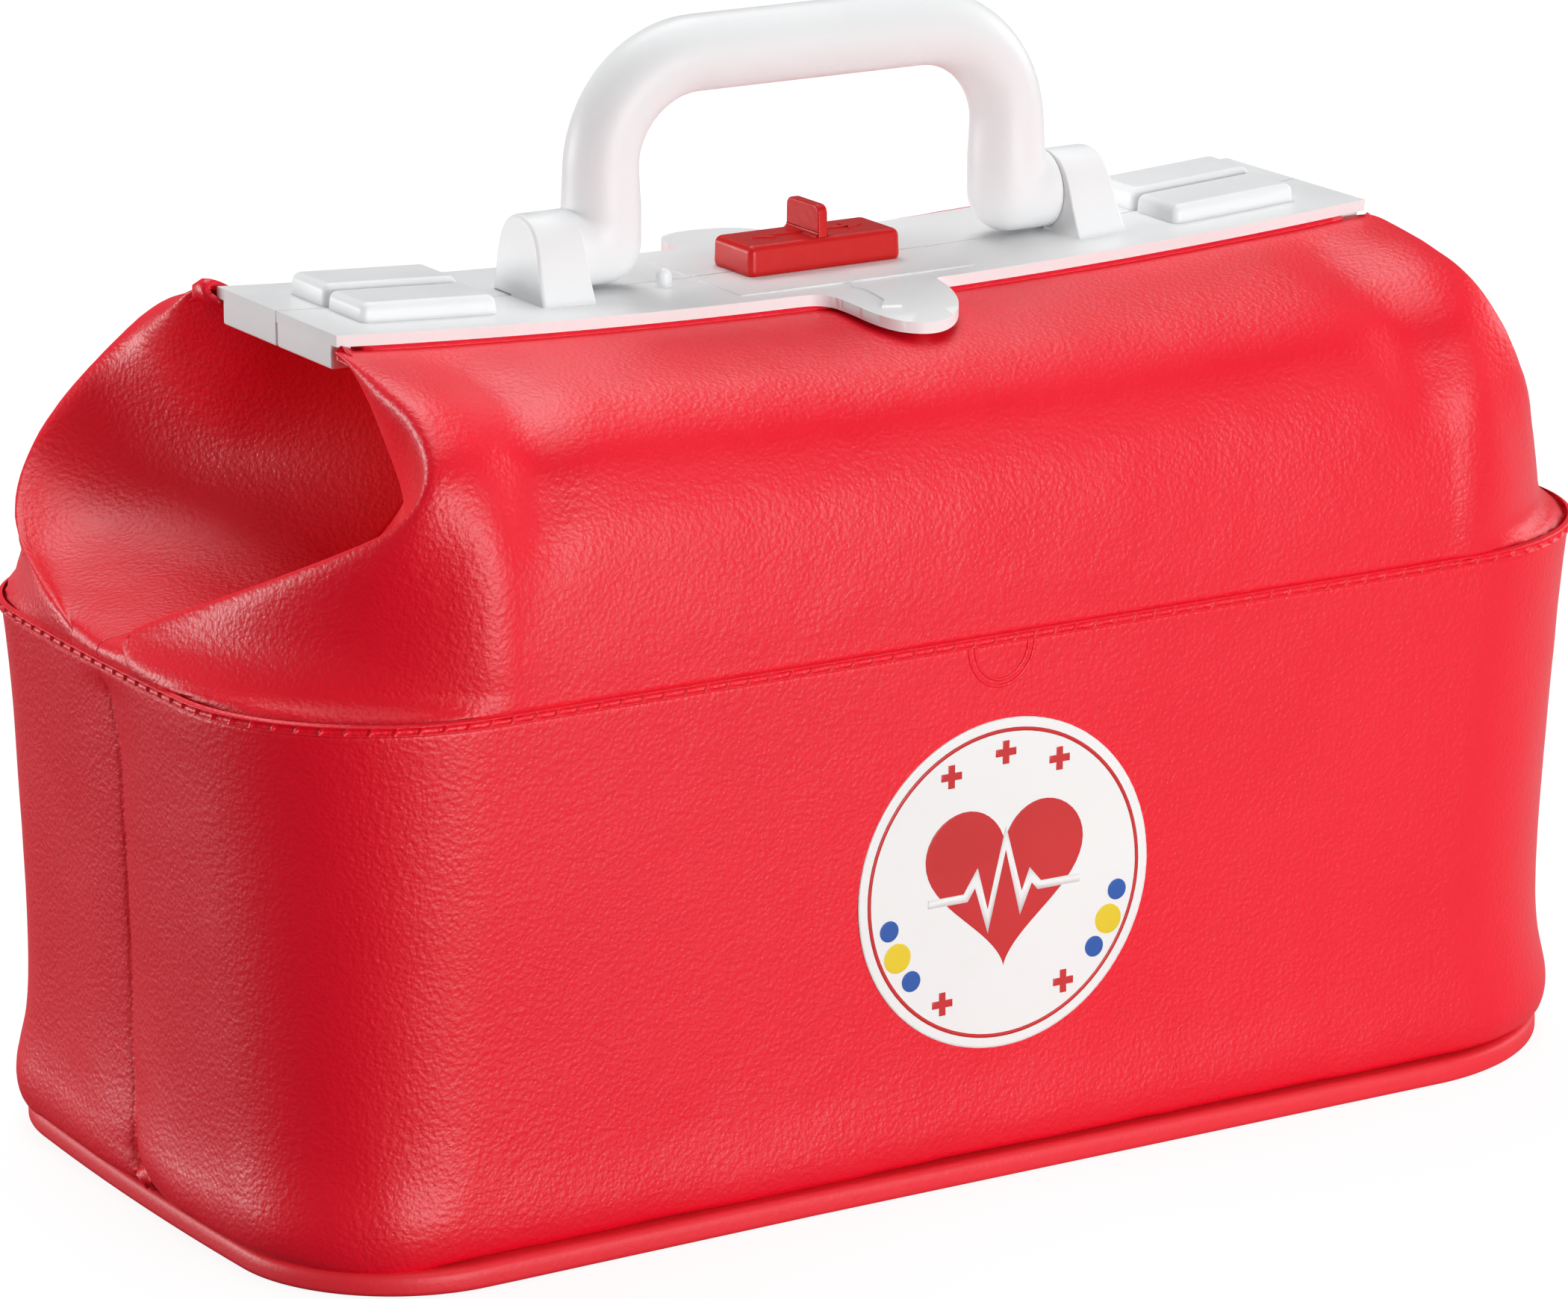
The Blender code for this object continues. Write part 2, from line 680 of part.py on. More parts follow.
def build_rivet(name, x, y):
    """Rivet turned about its shank: round head under the clamp strip, shank into the plate."""
    head_top = clamp_top(x) - CLAMP_THICKNESS - GAP - RIVET_FLOAT
    tip = rim_height(x) + GAP + RIVET_DEPTH
    profile = [(0.0, tip), (RIVET_RADIUS, tip), (RIVET_RADIUS, head_top), (RIVET_HEAD_RADIUS, head_top),
               (RIVET_HEAD_RADIUS, head_top - RIVET_HEAD_HEIGHT / 2),
               (RIVET_HEAD_RADIUS * RIVET_CROWN_SHARE, head_top - RIVET_HEAD_HEIGHT),
               (0.0, head_top - RIVET_HEAD_HEIGHT)]
    mesh = bpy.data.meshes.new(name)
    edges = [(i, i + 1) for i in range(len(profile) - 1)]
    mesh.from_pydata([(radius, 0.0, z - tip) for radius, z in profile], edges, [])
    item = new_object(name, mesh, "white_plastic")
    item.location = (x, y, tip)
    turn = item.modifiers.new("Screw", "SCREW")
    turn.steps = turn.render_steps = ROUND_STEPS
    turn.use_merge_vertices = True
    turn.merge_threshold = MERGE
    return item


def handle_path():
    """Half of the handle's centre line in X and Z, from the pivot to the middle of the grip."""
    end = LUG_INNER - GAP
    elbow = end - HANDLE_END_LEAD - HANDLE_LEG_X
    points = [(end, PIVOT_HEIGHT)]
    for i in range(HANDLE_ARC_STEPS + 1):
        turn = math.pi / 2 * i / HANDLE_ARC_STEPS
        points.append((HANDLE_LEG_X + elbow - elbow * math.sin(turn),
                       PIVOT_HEIGHT + elbow - elbow * math.cos(turn)))
    corner_z = HANDLE_AXIS_HEIGHT - HANDLE_CORNER_RADIUS
    corner_x = HANDLE_LEG_X - HANDLE_CORNER_RADIUS
    for i in range(HANDLE_ARC_STEPS + 1):
        turn = math.pi / 2 * i / HANDLE_ARC_STEPS
        points.append((corner_x + HANDLE_CORNER_RADIUS * math.cos(turn),
                       corner_z + HANDLE_CORNER_RADIUS * math.sin(turn)))
    return points


def build_handle():
    half = handle_path()
    points = [(-x, z) for x, z in half] + [(x, z) for x, z in reversed(half)]
    curve = bpy.data.curves.new("handle_tube", "CURVE")
    curve.dimensions = "3D"
    curve.bevel_depth = HANDLE_RADIUS
    curve.bevel_resolution = HANDLE_SIDE_STEPS
    curve.use_fill_caps = True
    spline = curve.splines.new("POLY")
    spline.points.add(len(points) - 1)
    for target, (x, z) in zip(spline.points, points):
        target.co = (x, 0.0, z - PIVOT_HEIGHT, 1.0)
    tube = bpy.data.objects.new("handle_tube", curve)
    case.objects.link(tube)
    tube.location = (0.0, 0.0, PIVOT_HEIGHT)
    bpy.context.view_layer.update()
    mesh = bpy.data.meshes.new_from_object(tube.evaluated_get(bpy.context.evaluated_depsgraph_get()))
    placed = tube.matrix_world.copy()
    bpy.data.objects.remove(tube, do_unlink=True)
    work = bmesh.new()
    work.from_mesh(mesh)
    bmesh.ops.remove_doubles(work, verts=work.verts, dist=MERGE)
    bmesh.ops.recalc_face_normals(work, faces=work.faces[:])
    work.to_mesh(mesh)
    work.free()
    mesh.materials.clear()
    item = new_object("handle", mesh, "white_plastic")
    item.matrix_world = placed
    work = bmesh.new()
    for side in (-1, 1):
        near = side * (LUG_INNER - HANDLE_RADIUS / 2)
        far = side * (LUG_INNER + TRUNNION_LENGTH)
        low, high = sorted((near, far))
        add_cylinder(work, TRUNNION_RADIUS, (low, 0, PIVOT_HEIGHT), (high, 0, PIVOT_HEIGHT), "X")
    join(item, new_object("trunnions", mesh_from(work, "trunnions")))
    smooth(item)
    return item


def build_latch():
    base = plate_top(0) + LATCH_LIFT
    top = base + LATCH_HEIGHT
    body = box_mesh("latch_slider", (-LATCH_HALF_LENGTH, -LATCH_HALF_WIDTH, base),
                    (LATCH_HALF_LENGTH, LATCH_HALF_WIDTH, top), LATCH_EDGE)
    item = new_object("latch_slider", body, "red_plastic")
    fin_half = LATCH_HALF_WIDTH - FIN_INSET
    fin = box_mesh("latch_fin", (-FIN_THICKNESS / 2, -fin_half, top - LATCH_EDGE),
                   (FIN_THICKNESS / 2, fin_half, top + FIN_HEIGHT), LATCH_EDGE / 2)
    join(item, new_object("latch_fin", fin))
    leg_low = plate_top(0) - PLATE_THICKNESS - GAP - RETAINER_THICKNESS - LEG_SINK
    leg = box_mesh("latch_leg", (-LEG_HALF_LENGTH, -LEG_OFFSET - LEG_THICKNESS / 2, leg_low),
                   (LEG_HALF_LENGTH, -LEG_OFFSET + LEG_THICKNESS / 2, base + LATCH_EDGE))
    join(item, new_object("latch_leg", leg))
    tooth_half = TOOTH_THICKNESS / 2
    tooth = box_mesh("latch_tooth",
                     (-TOOTH_HALF_LENGTH, TOOTH_OFFSET - tooth_half, plate_top(0) - TOOTH_DEPTH),
                     (TOOTH_HALF_LENGTH, TOOTH_OFFSET + tooth_half, base + LATCH_EDGE))
    join(item, new_object("latch_tooth", tooth))
    smooth(item)
    return item


def build_retainer():
    """Clip under the front plate, pushed over the slider's leg."""
    high = plate_top(0) - PLATE_THICKNESS - GAP
    low = high - RETAINER_THICKNESS
    mesh = box_mesh("latch_retainer", (-RETAINER_HALF_LENGTH, -LEG_OFFSET - RETAINER_HALF_WIDTH, low),
                    (RETAINER_HALF_LENGTH, -LEG_OFFSET + RETAINER_HALF_WIDTH, high))
    item = new_object("latch_retainer", mesh, "white_plastic")
    wide = LEG_THICKNESS / 2 + GAP
    reach = LEG_HALF_LENGTH + GAP
    hole = box_mesh("retainer_hole", (-reach, -LEG_OFFSET - wide, low - OVERRUN),
                    (reach, -LEG_OFFSET + wide, high + OVERRUN))
    cut(item, new_object("retainer_hole", hole))
    return item


def build_peg():
    """Stop peg with a domed head, pressed into the front plate beside the slider."""
    level = plate_top(PEG_X)
    top = level + PEG_HEIGHT
    rings = [(PEG_RADIUS, level - PEG_SINK)]
    rings += [(PEG_RADIUS * radius_share, top - PEG_RADIUS * drop_share)
              for radius_share, drop_share in PEG_DOME_SHARES]
    turns = [math.tau * i / ROUND_STEPS for i in range(ROUND_STEPS)]
    work = bmesh.new()
    loft(work, [[(-PEG_X + radius * math.cos(turn), -PEG_Y + radius * math.sin(turn), z) for turn in turns]
                for radius, z in rings])
    item = new_object("stop_peg", mesh_from(work, "stop_peg"), "white_plastic")
    smooth(item)
    return item


def wall_at(height):
    """Depth of the tub's front wall at a height, between the two profile rows around it."""
    for low, high in zip(TUB_PROFILE_SHARES, TUB_PROFILE_SHARES[1:]):
        a, b = SEAM_HEIGHT * low[0], SEAM_HEIGHT * high[0]
        if a <= height <= b:
            return SEAM_HALF_DEPTH * lerp(low[2], high[2], (height - a) / (b - a))
    return SEAM_HALF_DEPTH


def build_label():
    low, high = LABEL_HEIGHT - LABEL_RADIUS, LABEL_HEIGHT + LABEL_RADIUS
    slope = math.atan2(wall_at(high) - wall_at(low), high - low)
    depth = wall_at(LABEL_HEIGHT) + GAP + LABEL_THICKNESS / 2
    work = bmesh.new()
    bmesh.ops.create_cone(work, cap_ends=True, segments=LABEL_STEPS, radius1=LABEL_RADIUS,
                          radius2=LABEL_RADIUS, depth=LABEL_THICKNESS)
    item = new_object("round_label", mesh_from(work, "round_label"), "printed_label")
    item.rotation_euler = (math.pi / 2 + slope, 0.0, 0.0)
    item.location = (0.0, -depth, LABEL_HEIGHT)


clear_scene()
case = new_collection("toy_doctor_case")
cutters = new_collection("cutters")
front_hinge = joint_empty("front_hinge_axis", (0.0, -SEAM_HALF_DEPTH, SEAM_HEIGHT))
rear_hinge = joint_empty("rear_hinge_axis", (0.0, SEAM_HALF_DEPTH, SEAM_HEIGHT))
latch_line = joint_empty("latch_slide_axis", (0.0, 0.0, plate_top(0)))
rivet_holes = build_rivet_holes()

build_tub()
build_sole()
build_board()
build_label()
build_gusset("left_gusset", -1)
build_gusset("right_gusset", 1)
front_half = (build_panel("front_panel", -1), build_front_frame(), build_clamp("front_clamp_strip", -1))
rear_half = (build_panel("rear_panel", 1), build_rear_frame(), build_clamp("rear_clamp_strip", 1))
for item in front_half + (build_peg(), build_handle()):
    hang(item, front_hinge)
for item in rear_half:
    hang(item, rear_hinge)
for side, label, hinge in ((-1, "front", front_hinge), (1, "rear", rear_hinge)):
    for number, (x, y) in enumerate(rivet_places(side), start=1):
        hang(build_rivet(f"{label}_rivet_{number}", x, y), hinge)
for item in (build_latch(), build_retainer()):
    hang(item, latch_line)
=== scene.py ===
"""Looks of a toy doctor case: a red vinyl bag with a split white frame, a handle and a slide latch."""

import json
import math

import bmesh
import bpy
import numpy as np
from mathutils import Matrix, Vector, noise


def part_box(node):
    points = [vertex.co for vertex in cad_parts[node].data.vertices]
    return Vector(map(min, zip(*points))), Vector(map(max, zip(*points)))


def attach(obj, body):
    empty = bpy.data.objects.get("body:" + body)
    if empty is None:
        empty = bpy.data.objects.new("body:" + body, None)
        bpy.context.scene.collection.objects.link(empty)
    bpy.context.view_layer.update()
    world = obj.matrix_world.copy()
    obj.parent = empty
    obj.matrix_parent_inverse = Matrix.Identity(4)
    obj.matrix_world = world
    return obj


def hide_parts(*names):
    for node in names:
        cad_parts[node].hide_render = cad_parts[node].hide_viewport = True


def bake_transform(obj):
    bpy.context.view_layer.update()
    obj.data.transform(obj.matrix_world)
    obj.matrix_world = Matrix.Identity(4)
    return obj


MM = 0.001

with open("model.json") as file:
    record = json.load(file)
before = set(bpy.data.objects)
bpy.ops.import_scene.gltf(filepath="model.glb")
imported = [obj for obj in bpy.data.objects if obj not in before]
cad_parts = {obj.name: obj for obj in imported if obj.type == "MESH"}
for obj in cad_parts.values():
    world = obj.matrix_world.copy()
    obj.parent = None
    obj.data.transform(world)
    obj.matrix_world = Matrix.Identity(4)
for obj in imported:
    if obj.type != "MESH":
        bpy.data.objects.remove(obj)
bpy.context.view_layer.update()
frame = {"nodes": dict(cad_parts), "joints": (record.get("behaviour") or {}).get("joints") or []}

# Places that the frame gives, in millimetres
joints = {joint["name"]: joint for joint in frame["joints"]}
hinge_y, hinge_z = joints["front_open"]["pos_m"][1:]
SEAM_DEPTH = -hinge_y / MM
SEAM_Z = hinge_z / MM
PIVOT_Z = joints["handle_fold"]["pos_m"][2] / MM
HALF_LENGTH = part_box("bag_tub")[1].x / MM
PANEL_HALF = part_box("front_panel")[1].x / MM
PLATE_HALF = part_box("rear_frame")[1].x / MM
PAD_HALF_LENGTH, PAD_HALF_DEPTH, PAD_TOP = [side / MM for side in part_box("base_pad")[1]]
HANDLE_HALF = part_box("handle")[1].x / MM

# Bag
# Corner radii at the seam and at the foot, each named by its side in x and in y
CORNER_TOP = {(-1, -1): 36.0, (1, -1): 35.0, (-1, 1): 30.0, (1, 1): 34.0}
CORNER_FOOT = {(-1, -1): 28.5, (1, -1): 39.0, (-1, 1): 28.0, (1, 1): 34.0}
PLAN_RADIUS = 36.0
END_BULGE = 3.0
END_GATHER = 1.5
END_DENSITY = 1.3
VINYL = 1.6
STEP = 1.6
FOOT_STEP = 0.7
FOOT_RINGS = 24
WALL_FIRST_RING = 12
# Tub rows: height, then shares of the seam's half length and half depth
TUB_ROWS = (
    (4.6, 0.964, 0.972), (4.75, 0.974, 0.984), (5.3, 0.981, 0.998), (6.6, 0.986, 1.008),
    (9.1, 0.988, 1.0125), (12.0, 0.9865, 1.011), (15.5, 0.9825, 1.006), (21.5, 0.978, 0.998),
    (33.0, 0.976, 0.992), (50.0, 0.979, 0.9925), (80.0, 0.9895, 0.997), (97.5, 1.0, 1.0),
)
# Lengths by which a row's height and shares count when the rings are spaced
ROW_LENGTHS = (1, 130, 60)
# Upper panel rows: depth of the wall, height at the panel's end
PANEL_ROWS = (
    (65.8, 97.7), (65.8, 101.0), (65.7, 110.1), (64.8, 123.0), (62.8, 132.2), (58.2, 140.8),
    (50.0, 146.1), (40.0, 149.1), (30.0, 150.7), (24.0, 151.4), (20.5, 151.5),
)
# The lowest rows follow the seam; the others have a free fold edge at the ends: x, depth, height
SEAM_ROWS = 2
EDGE_ROWS = (
    (136.4, 12.5, 106.4), (123.6, 41.5, 122.4), (113.4, 57.0, 131.8), (108.6, 59.0, 139.6),
    (106.6, 51.0, 145.8), (107.0, 40.0, 149.0), (106.2, 30.0, 151.0), (105.7, 24.6, 151.8),
    (105.5, 22.5, 151.8),
)
RIGHT_EDGE = (
    (135.4, 14.5, 107.8), (123.2, 41.5, 122.2), (114.6, 56.2, 130.0), (111.0, 58.0, 137.8),
    (110.0, 50.0, 144.4), (109.6, 39.5, 148.0), (109.0, 30.0, 150.2), (108.0, 24.6, 151.4),
    (107.0, 22.5, 151.6),
)
REAR_LEFT_EDGE = (
    (139.2, 22.0, 105.2), (133.8, 44.0, 111.0), (124.6, 57.0, 119.2), (115.0, 57.0, 129.5),
    (108.4, 49.0, 137.4), (106.6, 39.0, 144.6), (106.4, 30.5, 152.4), (106.0, 26.4, 154.4),
    (105.8, 24.0, 154.4),
)
# How far the first free rows swell out past their fold edge
FRONT_SWELL = (0.6, 1.0, 0.8)
RIGHT_SWELL = (8.0, 5.5, 2.5)
REAR_LEFT_SWELL = (0.3,)
LEAST_REACH = 109.0
# Bottom of the fold between the halves, one place a free row: x and height
VALLEY_ROWS = (
    (132.5, 102.4), (119.0, 103.5), (106.0, 104.5), (94.0, 107.5), (84.0, 114.0), (76.0, 124.0),
    (71.0, 134.0), (68.0, 142.0), (66.0, 146.0),
)
# Inner face of a fold, from its edge to the valley: shares of the way in and of the way down
INNER_WAYS = ((0.11, 0.34), (0.20, 0.54), (0.36, 0.68), (0.60, 0.77), (0.84, 0.88), (1.0, 1.0))
OUTER_SHARES = (0.16, 0.32, 0.48, 0.64, 0.78)
BEND_SHARES = (0.25, 0.5, 0.75)
SEAM_TURNS = (0.30, 0.62, 0.94, 1.26, math.pi / 2)
SEAM_STEPS = (27.0, 20.0, 13.0)
PANEL_KEYS = (0.0, 22.0, 44.0, 64.0, 80.0, 91.0)
# Rounding of the ends: rounds of smoothing, strength, and where it starts and is full
EASE_ROUNDS = 14
EASE_STRENGTH = 0.9
EASE_X = (96.0, 102.0)
EASE_RISE = (0.5, 3.0)
# Soft folds of the upper skin: points x, depth, height, then width and depth of the fold
FOLDS = (
    (((90.5, 24.0, 151.4), (88.0, 33.0, 150.2), (86.5, 45.0, 147.5), (88.0, 55.0, 142.5),
      (88.8, 61.0, 135.0), (90.5, 63.5, 128.5), (92.0, 64.8, 121.0)), 7.0, -1.6),
    (((103.0, 24.0, 151.5), (103.5, 40.0, 149.0), (102.0, 55.0, 143.5), (99.5, 61.5, 135.0),
      (99.5, 64.5, 124.0), (101.0, 65.5, 110.0)), 7.0, 0.8),
    (((110.0, 60.0, 134.0), (114.5, 60.5, 126.0), (119.5, 59.0, 118.5), (124.0, 56.0, 111.0),
      (127.0, 52.5, 103.0)), 4.0, 0.7),
    (((106.5, 63.0, 129.0), (111.0, 63.5, 119.0), (116.0, 61.5, 110.0), (119.0, 60.0, 102.5)), 4.5, -0.5),
)
FOLD_SAMPLES = 50
FOLD_FADE_SHARE = 0.25
FOLD_LEAST_SHARE = 0.15
# Where folds start and are full: above the seam, out past the panel's end and out past the plate
FOLD_RISE = 8.0
FOLD_BEYOND = (2.0, 6.0)
FOLD_OUT = (0.0, 6.0)
# Slight waves of the walls: height, length and number of the noise
SKIN_WAVES = ((0.30, 38.0, 0), (0.10, 11.0, 3))
TUB_WAVE, TUB_RIPPLE, FOOT_WAVE = (0.30, 34.0, 1), (0.03, 9.0, 2), (0.22, 21.0, 3)
NOISE_SHIFT = (17.3, 5.1, 9.7)
# Crease down the ends: height and place across, as seen on the left end
END_CREASE = (
    (97.0, 1.0), (95.6, 1.0), (83.0, -1.7), (56.0, -0.2), (29.0, 0.7), (10.8, -2.1), (5.9, -6.2),
    (4.0, -6.6),
)
# Depth and width of the crease, of the hollow round it and of the pinch at its foot
CREASE = (0.8, 0.9)
HOLLOW = (0.9, 8.0)
PINCH = (2.4, 2.4)
PINCH_Z = 6.0
# Bulge of the low corners: depth, height and reach
CORNER_BULGE = (0.8, 12.0, 8.0)
# Where creases, waves, all pushes, and the foot's hang and sag start and are full
CREASE_X = (105.0, 125.0)
CREASE_Z = (98.0, 93.0)
WAVES_Z = (40.0, 10.0)
PUSH_Z = (97.5, 92.5)
HANG_Z = (4.6, 5.2)
SAG_Z = (13.0, 5.0)
SAG_X = 120.0
# Sag of the ends' foot: place across, drop and reach; then dips of the foot: x, y, drop and reach
END_SAG = (6.2, 1.8, 4.0)
FOOT_DIPS = (
    (-118.0, -60.5, 2.0, 9.0), (122.0, 57.0, 1.6, 10.0), (128.0, -45.0, 1.3, 11.0), (-131.0, 40.0, 1.0, 14.0),
)
# Seam band: its cells' pitch, rise and slant, then its section along a cell and across half the band
BAND_PITCH = 4.1
BAND_PROUD = 0.52
BAND_BASE = 0.06
BAND_SKEW = 0.45
BAND_INNER = 0.6
BAND_STEP = 0.8
BAND_MARKS = (
    (0.0, 1.0), (0.16, 1.0), (0.34, 0.15), (0.75, 0.0), (1.7, 0.0), (2.7, 0.0), (3.6, 0.0), (3.85, 0.15),
)
BAND_HALF = ((1.15, -0.6), (0.95, 0.45), (0.80, 1.0), (0.62, 1.0), (0.45, 0.15))
# Half-round mark under the band: half width and depth of each line, its section, its place in x
TONGUE_LINES = ((6.7, 7.6), (5.5, 6.4))
TONGUE_SECTION = ((-0.45, -0.2), (-0.28, 0.12), (-0.1, 0.24), (0.1, 0.24), (0.28, 0.12), (0.45, -0.2))
TONGUE_X = -1.0
TONGUE_DROP = 0.9

# Sole: how far it stands out past its pad, its rolled edge, and its bow at the front left
SOLE_OUT_X = 1.0
SOLE_OUT_Y = 2.2
SOLE_EDGE = 1.2
SOLE_BOW = 0.9
SOLE_BOW_X = (40.0, 100.0)
# Inset and height of the sole's wall above its rolled edge
SOLE_LEVELS = ((0.0, 2.4), (0.1, 3.4), (0.35, PAD_TOP - 0.45), (0.8, PAD_TOP - 0.1), (1.6, PAD_TOP))

# Frame plates
PLATE_HALF_WIDTH = 22.0
PLATE_END_Z = 154.6
PLATE_BOW = 3.9
PLATE_THICKNESS = 2.0
PLATE_CUT_STEP = 5.0
# How deep the parts that stand on a plate reach into it
ROOT = 1.0
RIM_GAP = 0.05
RIM_DEPTHS = (22.5, 18.0, 14.0, 11.5)
TAB_REACH = 21.0
TAB_DROOP = 2.1
TAB_LEFT = 16.0
TAB_RIGHT = 13.2
# Tab outline: shares of its width and of its reach
TAB_SHARES = (
    (0.0, 0.0), (0.1, 0.012), (0.17, 0.06), (0.215, 0.16), (0.24, 0.38), (0.26, 0.6),
    (0.3, 0.78), (0.36, 0.9), (0.45, 0.98), (0.54, 1.0), (0.64, 0.96), (0.74, 0.86),
    (0.84, 0.69), (0.91, 0.5), (0.96, 0.28), (0.985, 0.08), (1.0, 0.0),
)
# Raised mark on the front tab
TAB_MARK = (
    (-3.4, -20.5), (-1.6, -19.0), (-0.4, -24.0), (-0.6, -30.0), (-1.8, -34.5), (-5.4, -33.5), (-3.0, -30.5),
    (-2.6, -24.0),
)
TAB_MARK_CUTS = (-22.0, -27.0, -29.0, -32.0)
TAB_MARK_PROUD = 0.4
TAB_MARK_EDGE = 0.15
SPLIT = 0.15
FLANGE_EDGE = 0.45
BLOCK_LENGTH = 3.9
BLOCK_HALF_WIDTH = 20.0
BLOCK_DEPTH = 6.3
BLOCK_TOP = 0.6
BLOCK_INSET = 0.02
END_PAD_INNER = 69.4
END_PAD_OUTER = 96.2
END_PAD_DEPTH = 13.6
END_PAD_GAP = 0.35
END_PAD_EDGE = 1.5
PAD_TAPER_SHARES = (0.035, 0.06)
FRONT_PAD_HEIGHT = 3.3
REAR_PAD_HEIGHT = 4.0
# Low strip on which the latch slides
TRACK_HALF = 24.0
TRACK_GAP = 0.4
TRACK_PROUD = 0.14
TRACK_THICKNESS = 0.5
TRACK_EDGE = 0.06
FRONT_TRACK = 17.5
REAR_TRACK = 14.5
# Lug outline seen from the side: depth across the split and height over the plate
LUG_OUTLINE = (
    (-12.3, 0.1), (-10.2, 4.5), (-8.7, 8.5), (-7.3, 11.3), (-5.2, 13.4), (-2.6, 14.4), (-0.2, 14.5),
    (2.0, 14.0), (4.1, 12.3), (5.4, 9.4), (5.9, 5.0), (6.1, 0.4),
)
LUG_SETBACK = 5.7
LUG_INNER = HANDLE_HALF - LUG_SETBACK
LUG_WIDTH = 10.5
LUG_TAPER = 1.5
LUG_ROUND = 3.0
LUG_EDGE = 0.35
SHARP_ANGLE = 0.6

# Handle
HANDLE_LEG_X = 41.9
HANDLE_AXIS_Z = 190.8
HANDLE_CORNER = 19.0
HANDLE_LEG_RADIUS = 6.5
HANDLE_GRIP_RADIUS = 6.75
HANDLE_ELBOW = 7.0
TRUNNION_RADIUS = 7.0
TRUNNION_DROP = 1.0
PIVOT_GAP = 0.1
FLARE_TOP = 180.0
SWELL_RISE = 8.0
TUBE_SIDES = 40
BEND_STEPS = 25
LEG_STEPS = 6
GRIP_PLACES = (18.0, 12.0, 6.0)

# Slide latch and peg
SLIDER_HALF_LENGTH = 15.7
SLIDER_HALF_WIDTH = 6.6
SLIDER_HEIGHT = 5.8
SLIDER_TOP = 156.5
SLIDER_EDGE = 1.3
SLIDER_TAPER_SHARES = (0.010, 0.035)
FIN_HEIGHT = 5.6
FIN_HALF = 5.4
FIN_THICKNESS = 2.0
FIN_CORNER = 1.5
FIN_SPREAD = 0.1
FIN_EDGE = 0.35
FILLET = 0.9
FILLET_HALF = 5.3
FILLET_SINK = 0.02
FILLET_ROOT = 0.1
ARROW = ((1.2, -0.45), (8.2, -0.45), (7.4, -1.9), (11.4, 0.0), (7.4, 1.9), (8.2, 0.45), (1.2, 0.45))
ARROW_PROUD = 0.32
ARROW_THICKNESS = 0.8
ARROW_EDGE = 0.10
# Leg and tooth under the slider: half length, nearest and farthest y, foot
LEG = (3.0, -4.8, -3.2, 146.0)
TOOTH = (2.5, 2.85, 4.35, 149.7)
STEM_ROOT = 0.5
STEM_EDGE = 0.2
PEG_RADIUS = 1.4
PEG_HEIGHT = 3.3
PEG_X = 31.7
PEG_Y = 4.0
PEG_FOOT = ((0.25, -0.3), (0.2, 0.05), (0.05, 0.3), (0.0, 0.6))
PEG_SIDES = 28

# Label: sizes from its centre, how far each layer stands off the wall, and places round it in degrees
LABEL_RADIUS = 29.7
LABEL_Z = 53.5
FILM_LIFT = 0.22
PRINT_LIFT = 0.27
PULSE_LIFT = 0.33
FILM_DEPTH = 0.16
FILM_CROWN = 0.01
FILM_SHARES = (0.985, 0.7, 0.4, 0.15)
PRINT_DEPTH = 0.1
RING_RADII = (27.9, 27.2)
HEART_SIZE = 17.2
PULSE = (
    (-15.6, -1.5), (-8.0, -1.5), (-5.8, 1.8), (-3.4, -6.5), (0.2, 8.2), (3.4, -4.2), (5.4, 0.6), (7.2, -1.5),
    (15.6, -1.5),
)
PULSE_WIDTH = 1.5
PLUS_SIZE = 2.1
PLUS_RING = 23.6
PLUS_PLACES = (62, 90, 118, 238, 302)
DOT_RING = 24.0
YELLOW_DOT = 2.7
YELLOW_PLACES = (205, 335)
BLUE_DOT = 1.9
BLUE_PLACES = (192, 348, 218, 322)


def plate_top(x):
    """Height of the plates' bowed top."""
    return PLATE_END_Z - PLATE_BOW * (1 - (x / PLATE_HALF) ** 2)


def rise(value, start, end):
    """0 up to the start and 1 from the end on; the end may be the smaller of the two."""
    return np.clip((value - start) / (end - start), 0, 1)


def spike(gap, width):
    return np.exp(-np.abs(gap) / width)


def hump(gap, width):
    return np.exp(-(gap / width) ** 2)


def spline_weights(count, places):
    """Weights of evenly numbered points on a smooth curve that passes through them all."""
    t = np.clip(np.asarray(places, float), 0, count - 1)
    first = np.minimum(t.astype(int), count - 2)
    f = t - first
    basis = ((-f ** 3 + 2 * f ** 2 - f) / 2, (3 * f ** 3 - 5 * f ** 2 + 2) / 2,
             (-3 * f ** 3 + 4 * f ** 2 + f) / 2, (f ** 3 - f ** 2) / 2)
    weights = np.zeros((len(t), count + 2))
    rows = np.arange(len(t))
    for offset, part in enumerate(basis):
        weights[rows, first + offset] += part
    inner = weights[:, 1:-1].copy()
    for end, beside in ((0, 1), (-1, -2)):
        inner[:, end] += 2 * weights[:, end]
        inner[:, beside] -= weights[:, end]
    return inner


def spline(points, places):
    points = np.asarray(points, float)
    return spline_weights(len(points), places) @ points


def lengths_along(line):
    return np.concatenate([[0], np.cumsum(np.linalg.norm(np.diff(line, axis=0), axis=1))])


def even_places(points, step):
    """Places along a spline that lie about one step apart."""
    dense = np.linspace(0, len(points) - 1, 40 * len(points))
    length = lengths_along(spline(points, dense))
    count = max(2, int(round(length[-1] / step)) + 1)
    return np.interp(np.linspace(0, length[-1], count), length, dense)


def resample(points, step):
    return spline(points, even_places(points, step))


def arc(centre, radius, start, end, count):
    """Points on an arc in a plane, from one angle to another."""
    angles = np.linspace(start, end, count)
    return np.array(centre) + radius * np.stack([np.cos(angles), np.sin(angles)], axis=1)


